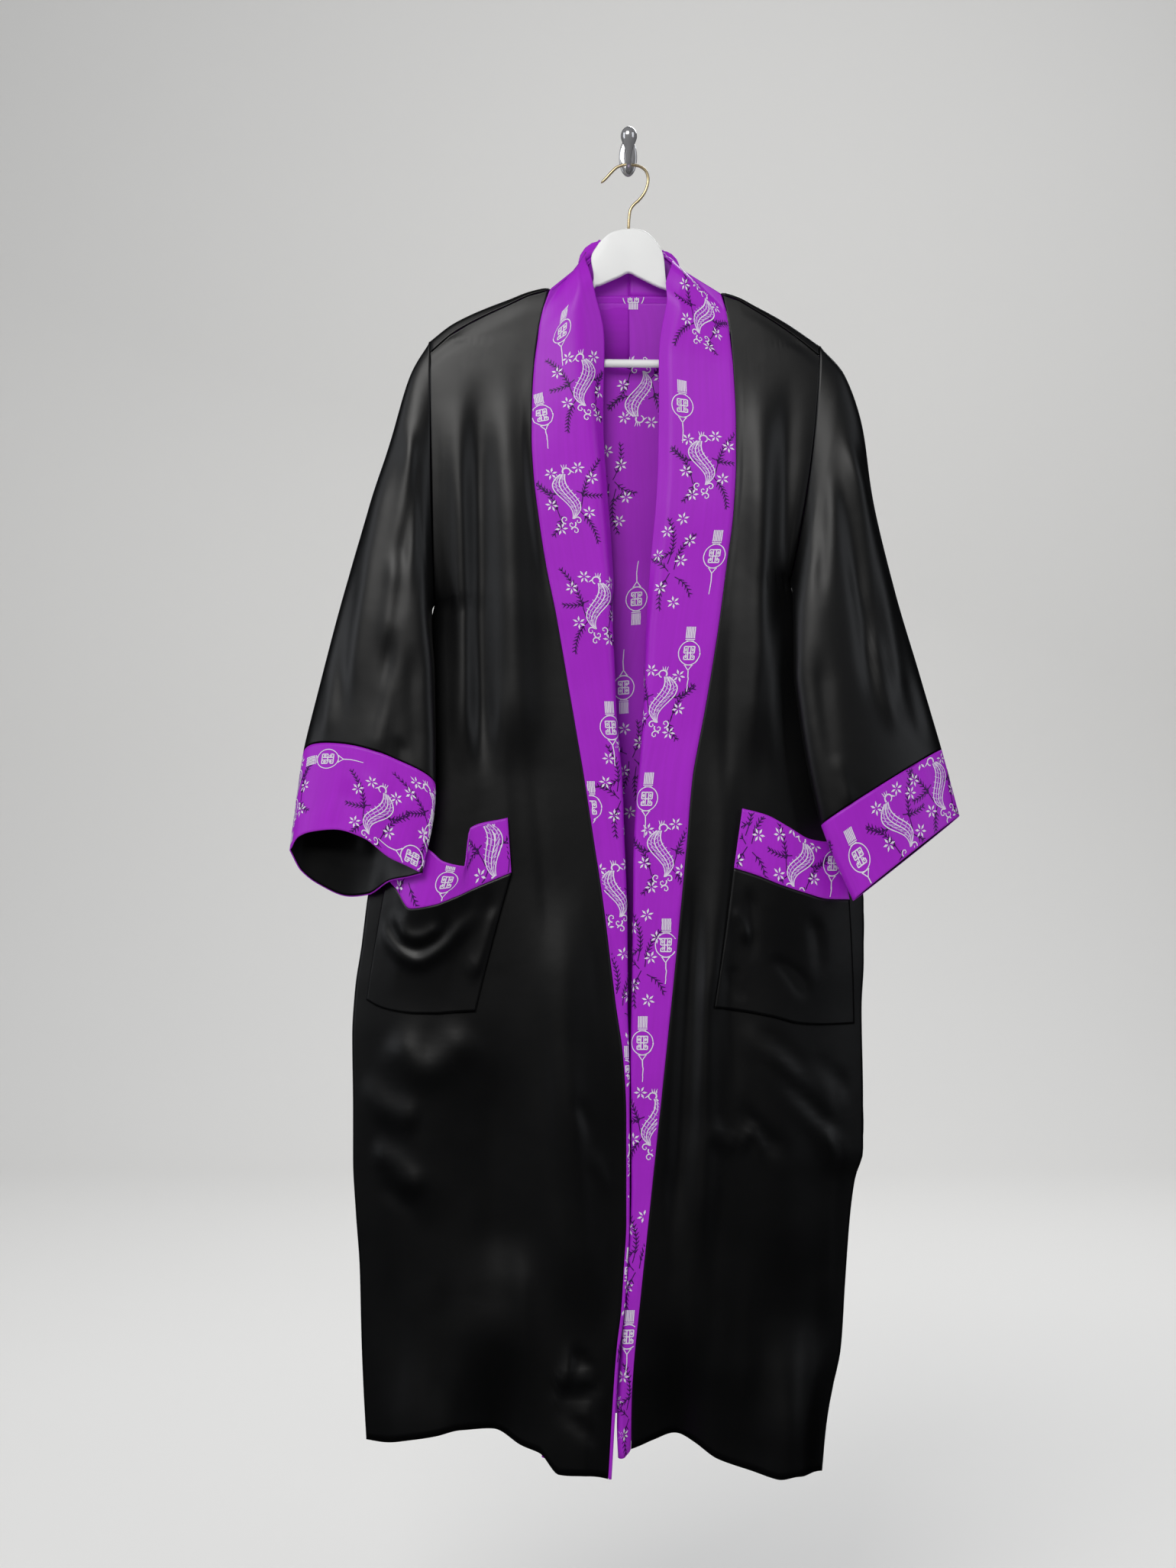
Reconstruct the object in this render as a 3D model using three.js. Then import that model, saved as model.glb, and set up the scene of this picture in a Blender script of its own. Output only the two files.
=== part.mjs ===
// A satin robe on a wooden hanger that hangs from a small wall hook.
// Millimetres; x to the viewer's right, y into the wall, z up; the origin is the middle of the
// wall plate's back face. The garment faces -y.
import * as THREE from "three";

const CLOTH = 1.2; // one wall of satin
const BAND = 1.6; // the doubled collar band
const LINING = 1.0;
const GAP = 0.3; // between pieces that meet
const LAY = CLOTH + GAP / 2; // how far front and back panel stand off their side seam
const BAND_WIDTH = 86;
const HANGER_THICK = 9;
const HANGER_Y = -32.4; // the hanger's middle plane

// Curves through short tables.

const clamp = (v, a, b) => Math.min(Math.max(v, a), b);
const mix = (a, b, k) => a + (b - a) * k;
const ease = (k) => k * k * (3 - 2 * k);

// The row of a table at t, by its first column, with no overshoot between the rows.
function along(rows, t) {
  const s = rows[0][0] > rows[rows.length - 1][0] ? -1 : 1;
  let i = 0;
  while (i < rows.length - 2 && s * t > s * rows[i + 1][0]) i++;
  const h = rows[i + 1][0] - rows[i][0];
  const k = clamp((t - rows[i][0]) / h, 0, 1);
  const secant = (j, c) =>
    j < 0 || j > rows.length - 2
      ? null
      : (rows[j + 1][c] - rows[j][c]) / (rows[j + 1][0] - rows[j][0]);
  const slope = (j, c) => {
    const a = secant(j - 1, c);
    const b = secant(j, c);
    if (a === null) return b;
    if (b === null) return a;
    return a * b > 0 ? (2 * a * b) / (a + b) : 0;
  };
  return rows[i].map((v, c) => {
    const m0 = slope(i, c) * h;
    const m1 = slope(i + 1, c) * h;
    const d = rows[i + 1][c] - v;
    return v + k * (m0 + k * (3 * d - 2 * m0 - m1 + k * (m0 + m1 - 2 * d)));
  });
}

// Sheets of cloth from grids of points.

const V = (x, y, z) => new THREE.Vector3(x, y, z);
const between = (a, b, k) => a.clone().lerp(b, k);

function normals(grid, wrap, flip) {
  const rows = grid.length;
  const cols = grid[0].length;
  const at = (i, j) =>
    grid[clamp(i, 0, rows - 1)][wrap ? (j + cols) % cols : clamp(j, 0, cols - 1)];
  return grid.map((row, i) =>
    row.map((_, j) => {
      const down = at(i + 1, j).clone().sub(at(i - 1, j));
      const over = at(i, j + 1).clone().sub(at(i, j - 1));
      return down.cross(over).normalize().multiplyScalar(flip ? -1 : 1);
    }),
  );
}

// One closed wall between two depths below the grid's outer face.
function wall(grid, from, to, { wrap = false, flip = false } = {}) {
  const n = normals(grid, wrap, flip);
  const rows = grid.length;
  const cols = grid[0].length;
  const pos = [];
  const index = [];
  for (const depth of [from, to])
    grid.forEach((row, i) =>
      row.forEach((p, j) => pos.push(...p.clone().addScaledVector(n[i][j], -depth).toArray())),
    );
  const id = (side, i, j) => side * rows * cols + i * cols + (j % cols);
  const quad = (a, b, c, d) =>
    flip ? index.push(a, c, b, a, d, c) : index.push(a, b, c, a, c, d);
  const across = wrap ? cols : cols - 1;
  for (let i = 0; i < rows - 1; i++)
    for (let j = 0; j < across; j++) {
      quad(id(0, i, j), id(0, i + 1, j), id(0, i + 1, j + 1), id(0, i, j + 1));
      quad(id(1, i, j), id(1, i, j + 1), id(1, i + 1, j + 1), id(1, i + 1, j));
    }
  for (let j = 0; j < across; j++) {
    quad(id(0, 0, j), id(0, 0, j + 1), id(1, 0, j + 1), id(1, 0, j));
    const e = rows - 1;
    quad(id(0, e, j), id(1, e, j), id(1, e, j + 1), id(0, e, j + 1));
  }
  if (!wrap)
    for (let i = 0; i < rows - 1; i++) {
      quad(id(0, i, 0), id(1, i, 0), id(1, i + 1, 0), id(0, i + 1, 0));
      const e = cols - 1;
      quad(id(0, i, e), id(0, i + 1, e), id(1, i + 1, e), id(1, i, e));
    }
  const g = new THREE.BufferGeometry();
  g.setAttribute("position", new THREE.Float32BufferAttribute(pos, 3));
  g.setIndex(index);
  g.computeVertexNormals();
  return g;
}

// The garment's measurements.

// Rows of SEAM: height, x and y of the seam between front and band.
// Rows of SIDE: height, x and y of the side seam below the underarm.
// Rows of RINGS: station, then x, y, z of the ring's inner end, x, y, z of its outer end, how far
// its front and back stand off the chord, tilt of that stand-off in degrees, sideways bow.
// Stations run from the armhole (0) to the cuff seam (1) and the cuff's rim (2).
// Rows of HEM: share of the way from band seam to side seam, drop below the straight line.
// Rows of FOLDS: x and z of a fold's upper end, x and z of its lower end, half width, depth
// (less than zero is a ridge towards the viewer).
// Rows of POCKET: share across; x, z and stand-off of the mouth; the same at the band's seam;
// x and z at the bottom.
// Rows of ROLL: height, how much of the band lies flat, radius and angle of its turned edge, and
// the direction across it.
const LEFT = {
  side: -1,
  seam: [
    [-155, -88, -41],
    [-196, -98, -44],
    [-235, -103, -47],
    [-278, -105.5, -50],
    [-317, -106, -53],
    [-361, -103.5, -55],
    [-410, -97.5, -57],
    [-458, -90, -58],
    [-507, -80, -60],
    [-570, -69, -61],
    [-634, -58, -63],
    [-687, -49, -64],
    [-745, -40, -66],
    [-825, -28, -68],
    [-934, -14.5, -70],
    [-988, -7, -71],
    [-1051, -3.5, -72],
    [-1168, -3.5, -74],
    [-1212, -6, -76],
    [-1259, -9, -80],
    [-1300, -14, -84],
    [-1352, -18, -87],
    [-1438, -23, -90],
  ],
  side_seam: [
    [-498, -212, -34],
    [-540, -222, -34],
    [-600, -240, -34],
    [-680, -258, -34],
    [-750, -272, -35],
    [-816, -285, -35],
    [-872, -292, -36],
    [-919, -299, -36],
    [-969, -302, -37],
    [-1051, -301, -38],
    [-1104, -301, -38],
    [-1160, -298, -39],
    [-1223, -293.5, -40],
    [-1300, -291.5, -41],
    [-1358, -289, -42],
    [-1409, -286, -43],
  ],
  rings: [
    [0, -212, -34, -498, -217, -33, -210, 17, 18, 0, 0],
    [0.1, -213.6, -50, -506, -238, -34, -246, 18, 14, 5, 0],
    [0.24, -213, -58, -531, -260, -35, -319, 22, 12, 10, 0],
    [0.42, -210, -64, -573, -288, -36, -410, 26, 12, 20, 0],
    [0.6, -209, -68, -614, -312, -38, -492, 29, 13, 30, 0],
    [0.8, -208, -73, -660, -336, -40, -585, 31, 16, 40, 0],
    [1, -208, -77, -697, -355, -42, -663, 34, 22, 45, 0],
    [2, -222, -84, -791, -369.5, -46, -767, 40, 50, 55, 0],
  ],
  hem: [
    [0, 0],
    [0.08, -3],
    [0.2, 0],
    [0.28, -19],
    [0.36, -22],
    [0.47, -32],
    [0.6, -31],
    [0.7, -23],
    [0.8, -15],
    [0.93, -3],
    [1, 0],
  ],
  folds: [
    [-184, -260, -178, -690, 14, -5],
    [-166, -240, -160, -700, 13, 6],
    [-130, -250, -118, -690, 22, -6],
    [-80, -790, -52, -1300, 38, -7],
    [-146, -930, -140, -1240, 34, 6],
    [-48, -1290, -48, -1500, 34, -9],
    [-140, -1260, -146, -1500, 32, 26],
    [-232, -1280, -232, -1500, 34, -8],
    [-238, -880, -226, -1180, 26, -5],
  ],
  pocket: [
    [0, -256, -747, 2, -264, -797, 2, -286, -930],
    [0.12, -239, -755, 7, -253, -808, 5, -272, -937],
    [0.3, -215, -766, 15, -236, -829, 13, -254, -941],
    [0.5, -199, -778, 19, -211, -825, 15, -231, -943],
    [0.68, -176, -783, 15, -184, -815, 11, -207, -943],
    [0.75, -171, -742, 6, -165, -806, 6, -196, -942],
    [1, -131, -731, 2, -127, -790, 2, -166, -940],
  ],
  roll: [
    [-155, 60, 16, -20, 0.66, 0.38, 0.62],
    [-170, 62, 20, 10, 0.57, 0.3, 0.765],
    [-186, 64, 20, 30, 0.58, 0.1, 0.8],
    [-200, 64, 20, 20, 0.64, -0.02, 0.76],
    [-216, 50, 40, 30, 0.72, -0.12, 0.68],
    [-235, 42, 38, 34, 0.89, -0.14, 0.43],
    [-278, 48, 26, 50, 0.96, -0.12, 0.24],
    [-317, 60, 14, 58, 0.99, -0.04, 0.12],
    [-361, 64, 12, 60, 1, 0.02, 0.03],
    [-410, 62, 12, 66, 1, 0.02, 0],
    [-458, 60, 10, 74, 1, 0.03, 0],
    [-507, 52, 10, 84, 1, 0.04, 0],
    [-570, 45, 9, 95, 1, 0.05, 0],
    [-634, 38, 8, 105, 1, 0.06, 0],
    [-687, 35, 7, 112, 1, 0.07, 0],
    [-745, 28, 7, 120, 1, 0.08, 0],
    [-825, 20, 6, 135, 1, 0.08, 0],
    [-896, 13, 5, 150, 1, 0.08, 0],
    [-988, 3, 4, 160, 1, 0.05, 0],
    [-1051, 1, 2.6, 165, 1, 0, 0],
    [-1330, 1, 2.6, 165, 1, 0, 0],
    [-1438, 1, 2.6, 165, 1, 0, -0.24],
  ],
};

const RIGHT = {
  side: 1,
  seam: [
    [-160, 103, -41],
    [-196, 110, -44],
    [-244, 114, -48],
    [-303, 116.5, -52],
    [-342, 116.5, -54],
    [-400, 113.5, -57],
    [-458, 106, -58],
    [-522, 97.5, -60],
    [-570, 90, -61],
    [-614, 82.5, -62],
    [-653, 75, -63],
    [-687, 69, -64],
    [-760, 62.5, -66],
    [-845, 54.5, -68],
    [-930, 46, -70],
    [-1011, 37.5, -71],
    [-1091, 29, -72],
    [-1177, 20, -73],
    [-1253, 12, -74],
    [-1323, 5, -74],
    [-1358, 3, -72],
    [-1412, 2, -70],
  ],
  side_seam: [
    [-472, 176.5, -34],
    [-520, 186, -34],
    [-580, 200, -34],
    [-640, 214, -34],
    [-700, 228, -34],
    [-760, 243, -35],
    [-823, 257, -35],
    [-888, 257, -36],
    [-940, 254.5, -37],
    [-1037, 256, -38],
    [-1095, 256, -39],
    [-1125, 247, -40],
    [-1165, 241.5, -41],
    [-1235, 236, -43],
    [-1308, 231, -45],
    [-1360, 220, -47],
    [-1395, 214.5, -48],
    [-1441, 210, -50],
  ],
  rings: [
    [0, 176.5, -34, -472, 209, -33, -215, 17, 18, 0, 5],
    [0.1, 178.1, -50, -490, 236, -34, -247, 18, 14, 3, 4],
    [0.24, 178, -58, -520, 256, -35, -307, 22, 12, 6, 2],
    [0.42, 178, -64, -573, 266, -36, -381, 25, 12, 8, 0],
    [0.6, 182, -68, -614, 290, -38, -483, 27, 12, 10, 0],
    [0.8, 191, -73, -673, 317, -40, -575, 28, 13, 12, 0],
    [1, 206, -77, -739, 341, -42, -658, 28, 15, 12, 0],
    [2, 240, -80, -820, 360, -44, -730, 27, 18, 12, 0],
  ],
  hem: [
    [0, 0],
    [0.12, -12],
    [0.24, -19],
    [0.33, -14],
    [0.45, -2],
    [0.6, 4],
    [0.75, 7],
    [0.86, 1],
    [1, 0],
  ],
  folds: [
    [146, -240, 138, -690, 20, -7],
    [176, -230, 160, -560, 12, 5],
    [90, -760, 78, -1230, 13, -5],
    [62, -740, 52, -1200, 11, 5],
    [150, -860, 170, -1240, 32, -5],
    [52, -1270, 52, -1500, 24, 20],
    [175, -1260, 175, -1500, 34, -24],
    [113, -955, 238, -1087, 12, 4],
  ],
  pocket: [
    [0, 122, -721, 2, 113, -785, 2, 92, -936],
    [0.2, 148, -728, 6, 138, -793, 4, 124, -940],
    [0.4, 172, -741, 9, 163, -803, 6, 156, -946],
    [0.6, 195, -754, 8, 190, -812, 6, 186, -954],
    [0.8, 213, -757, 5, 216, -819, 4, 217, -956],
    [1, 229, -757, 2, 240, -820, 2, 246, -956],
  ],
  roll: [
    [-160, 60, 16, -20, 0.76, 0.31, 0.55],
    [-174, 62, 20, 10, 0.67, 0.3, 0.68],
    [-186, 64, 20, 16, 0.7, 0.06, 0.71],
    [-200, 66, 18, 12, 0.8, 0, 0.6],
    [-216, 66, 16, 18, 0.8, -0.05, 0.59],
    [-244, 68, 14, 35, 0.96, 0.02, 0.28],
    [-303, 68, 14, 30, 0.99, 0.02, 0.12],
    [-361, 68, 14, 26, 1, 0.01, 0.02],
    [-410, 68, 14, 26, 1, 0, 0],
    [-458, 68, 12, 45, 1, 0, 0],
    [-522, 66, 11, 70, 1, 0, 0],
    [-570, 62, 10, 84, 1, 0, 0],
    [-634, 55, 9, 100, 1, 0.02, 0],
    [-687, 51, 8, 112, 1, 0.03, 0],
    [-745, 50, 8, 125, 1, 0.03, 0],
    [-825, 45, 7, 140, 1, 0.03, 0],
    [-896, 40, 6, 150, 1, 0.03, 0],
    [-988, 33, 5, 150, 1, 0, 0],
    [-1067, 25, 4, 150, 1, 0, 0],
    [-1170, 15, 4, 150, 1, -0.02, 0],
    [-1253, 12, 4, 155, 1, -0.1, 0],
    [-1328, 10, 4, 165, 0.94, -0.3, 0],
    [-1378, 12, 4, 175, 0.75, -0.65, 0],
    [-1412, 14, 4, 178, 0.5, -0.8, -0.36],
  ],
};

// The neck from the left shoulder seam to the right one: x, y, z of the seam, how much of the
// collar stands up, radius and angle of its roll, and the direction it stands in.
const NECK = [
  [-88, -41, -155, 60, 16, -20, 0.66, 0.38, 0.62],
  [-82, -33, -154, 62, 11, -45, 0.7, 0.24, 0.62],
  [-74, -26, -154, 54, 4.2, -164, 0.66, 0.1, 0.72],
  [-59, -21, -155, 48, 3.4, -174, 0.45, 0.05, 0.86],
  [-40, -19, -156.2, 44, 3.2, -176, 0.2, 0.03, 0.98],
  [-20, -18, -156, 44, 3.2, -176, 0.07, 0.02, 1],
  [1, -17.6, -156, 44, 3.2, -176, 0, 0.02, 1],
  [24, -18, -156.2, 44, 3.2, -176, -0.07, 0.02, 1],
  [46, -19, -156.6, 44, 3.2, -176, -0.2, 0.03, 0.98],
  [68, -21, -157, 50, 3.4, -174, -0.52, 0.05, 0.83],
  [86, -26, -158, 58, 4.2, -164, -0.74, 0.1, 0.64],
  [96, -33, -159, 66, 11, -45, -0.76, 0.24, 0.55],
  [103, -41, -160, 60, 16, -20, -0.76, 0.31, 0.55],
];
const CENTRE = 6; // the row of NECK at the centre-back seam

// Heights of the shoulders' top line.
const SHOULDER = [
  [-217, -210],
  [-200, -196],
  [-180, -184.5],
  [-141, -168.5],
  [-88, -152.5],
  [0, -156],
  [103, -158],
  [150, -177.5],
  [180, -194.5],
  [209, -215],
];

const BACK_HEM = -1388;
// Folds of the back panel, as in FOLDS.
const BACK_FOLDS = [
  [-150, -420, -190, -1420, 34, -6],
  [-70, -520, -80, -1420, 36, 6],
  [20, -420, 10, -1420, 34, -5],
  [110, -480, 100, -1420, 36, 6],
];

// Sleeves and armholes.

// Angles of the points of a ring: 0 at its inner end, up the front to 180, down the back.
const SEAM_ANGLE = 155; // where the shoulder seam meets the armhole
const FRONT_ANGLES = [155, 140, 125, 110, 95, 80, 62, 42, 20, 0];
const BACK_ANGLES = [155, 168, 180, 192, 210, 230, 250, 270, 290, 310, 335, 360];
const RING_ANGLES = [...FRONT_ANGLES].reverse().concat(BACK_ANGLES.slice(1, -1));

// The left cuff's mouth gapes more towards its outer end: share from the inner end, stand-off.
const GAPE = [
  [0, 0],
  [0.1, 0.16],
  [0.24, 0.35],
  [0.42, 0.85],
  [0.6, 1],
  [0.8, 0.8],
  [0.93, 0.5],
  [1, 0],
];

// How far a ring stands off its chord at share s, as a share of the most.
function standOff(p, t, s) {
  const even = (2 * Math.sqrt(s * (1 - s))) ** 0.8;
  return p.side < 0 ? mix(even, along(GAPE, s)[1], clamp(t / 2, 0, 1) ** 2) : even;
}

// A point of a ring, or of one that lies inside it by an inset.
function ringPoint(p, t, degrees, inset = 0) {
  const [, xi, yi, zi, xo, yo, zo, front, back, tilt, bow] = along(p.rings, t);
  const share = (1 - Math.cos((degrees * Math.PI) / 180)) / 2;
  const s = inset ? clamp(share, 0.1, 0.96) : share;
  const most = degrees <= 180 ? front : -back;
  const end = degrees % 180 === 0;
  const turn = (tilt * Math.PI) / 180;
  const off = end ? 0 : most * standOff(p, t, s) - (Math.sign(most) * inset) / Math.cos(turn);
  return V(
    mix(xi, xo, s) + bow * 4 * s * (1 - s),
    mix(yi, yo, s) - off * Math.cos(turn),
    mix(zi, zo, s) + off * Math.sin(turn),
  );
}

function ringGrid(p, stations, inset = 0) {
  return stations.map((t) => RING_ANGLES.map((a) => ringPoint(p, t, a, inset)));
}

// A sleeve starts beside the armhole, clear of the panels by the gap and by its own slant.
function sleeveGrid(p) {
  const grid = ringGrid(p, SLEEVE_STATIONS);
  const n = normals(grid, true, p.side < 0);
  grid[0].forEach((q, j) => {
    q.x += p.side * (GAP + CLOTH * Math.abs(n[0][j].x));
  });
  return grid;
}

// Front panels.

const ROWS_BELOW = 19; // rows from the underarm to the hem
const FRONT_COLS = 12;
const SHOULDER_COLS = 6;

// A point of the shoulder seam, 0 at the neck and 1 at the armhole.
function shoulderSeam(p, a) {
  const neck = p.side < 0 ? NECK[0] : NECK[NECK.length - 1];
  const tip = ringPoint(p, 0, SEAM_ANGLE);
  const top = (x) => along(SHOULDER, x)[1];
  const knot = (k) => {
    const x = mix(neck[0], tip.x, k);
    const below = mix(neck[2] - top(neck[0]), tip.z - top(tip.x), k);
    return V(x, mix(neck[1], tip.y, k), top(x) + below);
  };
  const k = clamp(Math.floor(a * SHOULDER_COLS), 0, SHOULDER_COLS - 1);
  return between(knot(k / SHOULDER_COLS), knot((k + 1) / SHOULDER_COLS), a * SHOULDER_COLS - k);
}

// Heights of the side edge's rows, from the shoulder seam to the hem, and the edge's points.
function sideEdge(p, back) {
  const angles = back ? BACK_ANGLES : FRONT_ANGLES;
  const pts = angles.map((a) => ringPoint(p, 0, a));
  const lay = (back ? 1 : -1) * LAY;
  pts[pts.length - 1].y += lay;
  const top = p.side_seam[0][0];
  const bottom = p.side_seam[p.side_seam.length - 1][0];
  for (let i = 1; i <= ROWS_BELOW; i++) {
    const z = mix(top, bottom, i / ROWS_BELOW);
    const [, x, y] = along(p.side_seam, z);
    pts.push(V(x, y + lay, z));
  }
  return pts;
}

function seamEdge(p) {
  const side = sideEdge(p, false);
  const last = side.length - 1;
  const z0 = p.seam[0][0];
  const z1 = p.seam[p.seam.length - 1][0];
  return side.map((q) => {
    const k = (side[0].z - q.z) / (side[0].z - side[last].z);
    const z = mix(z0, z1, k);
    const [, x, y] = along(p.seam, z);
    return V(x, y, z);
  });
}

// How far folds push a panel back at x, z.
function foldsAt(rows, x, z) {
  let y = 0;
  for (const [x0, z0, x1, z1, half, depth] of rows) {
    const k = (z - z0) / (z1 - z0);
    const off = (x - mix(x0, x1, clamp(k, 0, 1))) / half;
    const fade = ease(clamp(k / 0.25, 0, 1)) * ease(clamp((1 - k) / 0.2, 0, 1));
    y += depth * Math.exp(-off * off) * fade;
  }
  return y;
}

// Depth of a front panel at x, z.
function frontDepth(p, x, z) {
  const [, xi, yi] = along(p.seam, z);
  const under = p.side_seam[0][0];
  let xo;
  let yo;
  if (z > under) {
    const [, ax, ay, az, bx, by, bz, front, , , bow] = p.rings[0];
    const s = clamp((z - az) / (bz - az), 0, 1);
    xo = mix(ax, bx, s) + bow * 4 * s * (1 - s);
    yo = mix(ay, by, s) - front * (2 * Math.sqrt(s * (1 - s))) ** 0.8;
    yo -= LAY * (1 - s) ** 8;
  } else {
    [, xo, yo] = along(p.side_seam, z);
    yo -= LAY;
  }
  const u = clamp((x - xi) / (xo - xi), 0, 1);
  const edge = ease(clamp(u / 0.1, 0, 1)) * ease(clamp((1 - u) / 0.12, 0, 1));
  return yo + (yi - yo) * (1 - u ** 4) + foldsAt(p.folds, x, z) * edge;
}

function frontGrid(p) {
  const inner = seamEdge(p);
  const outer = sideEdge(p, false);
  const last = inner.length - 1;
  return inner.map((a, i) => {
    const b = outer[i];
    const v = i / last;
    const rise = ease(clamp(1 - v / 0.3, 0, 1));
    const hemward = ease(clamp((v - 0.55) / 0.45, 0, 1));
    const row = [];
    for (let j = 0; j <= FRONT_COLS; j++) {
      const u = j / FRONT_COLS;
      if (i === 0) {
        const q = shoulderSeam(p, u);
        row.push(V(q.x, q.y - 0.15, q.z - GAP - CLOTH * 0.85));
        continue;
      }
      const x = mix(a.x, b.x, u);
      const line = mix(a.z, b.z, u);
      const arch = shoulderSeam(p, u).z - mix(inner[0].z, outer[0].z, u);
      const z = line + arch * rise - along(p.hem, u)[1] * hemward;
      const y = j === 0 ? a.y : j === FRONT_COLS ? b.y : frontDepth(p, x, z);
      row.push(V(x, y, z));
    }
    return row;
  });
}

// Back panel.

// The back's first rows run over the shoulder: depth, and rise above the shoulder seam.
const OVER = [
  [-41, 0],
  [-38, 2.2],
  [-32.5, 3],
  [-27, 2],
  [-21.5, -2],
];
const BACK_DEPTH = -22; // of the back's middle under the neck
const HEM_DEPTH = -14; // and further down

function backGrid() {
  const left = sideEdge(LEFT, true);
  const right = sideEdge(RIGHT, true);
  const rows = left.length;
  const ends = [shoulderSeam(LEFT, 0).x, shoulderSeam(RIGHT, 0).x];
  const span = [left[0].x, right[0].x];
  const neck = NECK.slice(1, -1);
  // The columns' shares of the width, fixed on the shoulder line.
  const cols = [];
  for (let j = 0; j <= SHOULDER_COLS; j++) cols.push({ a: 1 - j / SHOULDER_COLS, p: LEFT });
  for (const row of neck) cols.push({ row });
  for (let j = 0; j <= SHOULDER_COLS; j++) cols.push({ a: j / SHOULDER_COLS, p: RIGHT });
  for (const c of cols) {
    c.x = c.row ? c.row[0] : mix(ends[c.p.side < 0 ? 0 : 1], span[c.p.side < 0 ? 0 : 1], c.a);
    c.w = (c.x - span[0]) / (span[1] - span[0]);
  }
  const last = OVER.length - 1;
  const grid = [];
  for (let i = 0; i < rows; i++) {
    const l = left[i];
    const r = right[i];
    grid.push(
      cols.map((c) => {
        const first = c === cols[0];
        const final = c === cols[cols.length - 1];
        if (first) return l.clone();
        if (final) return r.clone();
        const x = mix(l.x, r.x, c.w);
        const below = mix(l.z, r.z, c.w);
        const mid = c.row ? Math.max(c.row[1] + CLOTH, BACK_DEPTH) : BACK_DEPTH;
        if (i <= last) {
          if (c.row) return V(c.row[0], mix(c.row[1], mid, ease(i / last)), c.row[2] - 3 * i);
          const seam = shoulderSeam(c.p, c.a);
          if (i === 0) return seam;
          const end = c.p.side < 0 ? l : r;
          const start = c.p.side < 0 ? left[0] : right[0];
          const dy = mix(OVER[i][0] - OVER[0][0], end.y - start.y, c.a);
          const dz = mix(OVER[i][1], end.z - start.z, c.a);
          return V(seam.x, seam.y + dy, seam.z + dz);
        }
        const top = c.row ? c.row[2] - 12 : along(SHOULDER, c.x)[1] - 8;
        const k = (i - last) / (rows - 1 - last);
        const start = mix(left[last].z, right[last].z, c.w);
        const e = Math.abs(2 * c.w - 1);
        const short = (BACK_HEM - mix(left[rows - 1].z, right[rows - 1].z, c.w)) * (1 - e ** 4);
        const z = below + (top - start) * ease(clamp(1 - k * 2.6, 0, 1)) + short * k;
        const flat = mix(l.y, r.y, c.w);
        const deep = mix(mid, HEM_DEPTH, ease(clamp(k * 3, 0, 1)));
        const settle = 1 - e ** mix(6, 4, k);
        return V(
          mix(c.x, x, ease(clamp(k * 3, 0, 1))),
          flat + (deep - flat) * settle + foldsAt(BACK_FOLDS, x, z) * (1 - e ** 3),
          z,
        );
      }),
    );
  }
  return grid;
}

// Collar band.

// The points across the band at one station: flat for a way, turned round a small radius, flat.
function bandSection(start, across, out, flat, radius, degrees, gap) {
  const a = (Math.abs(degrees) * Math.PI) / 180;
  const turn = degrees < 0 ? 1 : -1;
  const arc = Math.min(radius * a, BAND_WIDTH - flat - 3);
  const rest = BAND_WIDTH - flat - arc;
  const stops = [
    0,
    flat / 2,
    flat,
    flat + arc / 3,
    flat + (arc * 2) / 3,
    flat + arc,
    flat + arc + rest / 2,
    BAND_WIDTH,
  ];
  return stops.map((s) => {
    const on = clamp(s - flat, 0, arc);
    const g = (on / arc) * a * Math.min(1, arc / (radius * a));
    const more = Math.max(0, s - flat - arc);
    const u = Math.min(s, flat) + radius * Math.sin(g) + more * Math.cos(g);
    const v = radius * (1 - Math.cos(g)) + more * Math.sin(g);
    return start.clone().addScaledVector(across, u + gap).addScaledVector(out, turn * v);
  });
}

const CORNER_ROOM = 1.6;
const SHOULDER_ROOM = 1.2;

function bandGrid(p) {
  const stations = [];
  const front = seamEdge(p);
  for (let i = front.length - 1; i > 0; i--) {
    const [, flat, radius, turn, ux, uy, uz] = along(p.roll, front[i].z);
    stations.push({ at: front[i], flat, radius, turn, u: V(-p.side * ux, uy, uz) });
  }
  const neck = p.side < 0 ? NECK.slice(0, CENTRE + 1) : NECK.slice(CENTRE).reverse();
  neck.forEach((row, i) => {
    const [x, y, z, flat, radius, turn, ux, uy, uz] = row;
    // The first station stands clear of the back's corner, the last of the other band.
    const aside = i === 0 ? -CORNER_ROOM : i === neck.length - 1 ? GAP * 0.6 : 0;
    stations.push({ at: V(x + p.side * aside, y, z), flat, radius, turn, u: V(ux, uy, uz) });
  });
  return stations.map((s, i) => {
    const a = stations[Math.max(0, i - 1)].at;
    const b = stations[Math.min(stations.length - 1, i + 1)].at;
    const path = b.clone().sub(a).normalize();
    const u = s.u.clone().normalize();
    const out = u.clone().cross(path).normalize().multiplyScalar(-p.side);
    const slack = s.at.z > -215 && u.z < 0.8 ? SHOULDER_ROOM : 0.1;
    const clear = GAP / Math.sqrt(1 - u.dot(path) ** 2) + slack;
    return bandSection(s.at, u, out, s.flat, s.radius, s.turn, clear);
  });
}

// Pockets.

const POCKET_BODY_ROWS = 7;
const POCKET_BASE = CLOTH + GAP + 0.4; // the pocket's outer face above the panel's

function pocketPoint(p, a, q) {
  const [, mx, mz, mo, sx, sz, so, bx, bz] = along(p.pocket, a);
  if (q < 0) {
    // From the band's seam up to the mouth, q from 0 to -1.
    const x = mix(sx, mx, -q);
    const z = mix(sz, mz, -q);
    return V(x, frontDepth(p, x, z) - POCKET_BASE - mix(so, mo, -q), z);
  }
  const x = mix(sx, bx, q) + p.side * 4 * q * (1 - q);
  const z = mix(sz, bz, q);
  return V(x, frontDepth(p, x, z) - POCKET_BASE - so * (1 - q) ** 1.6, z);
}

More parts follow.
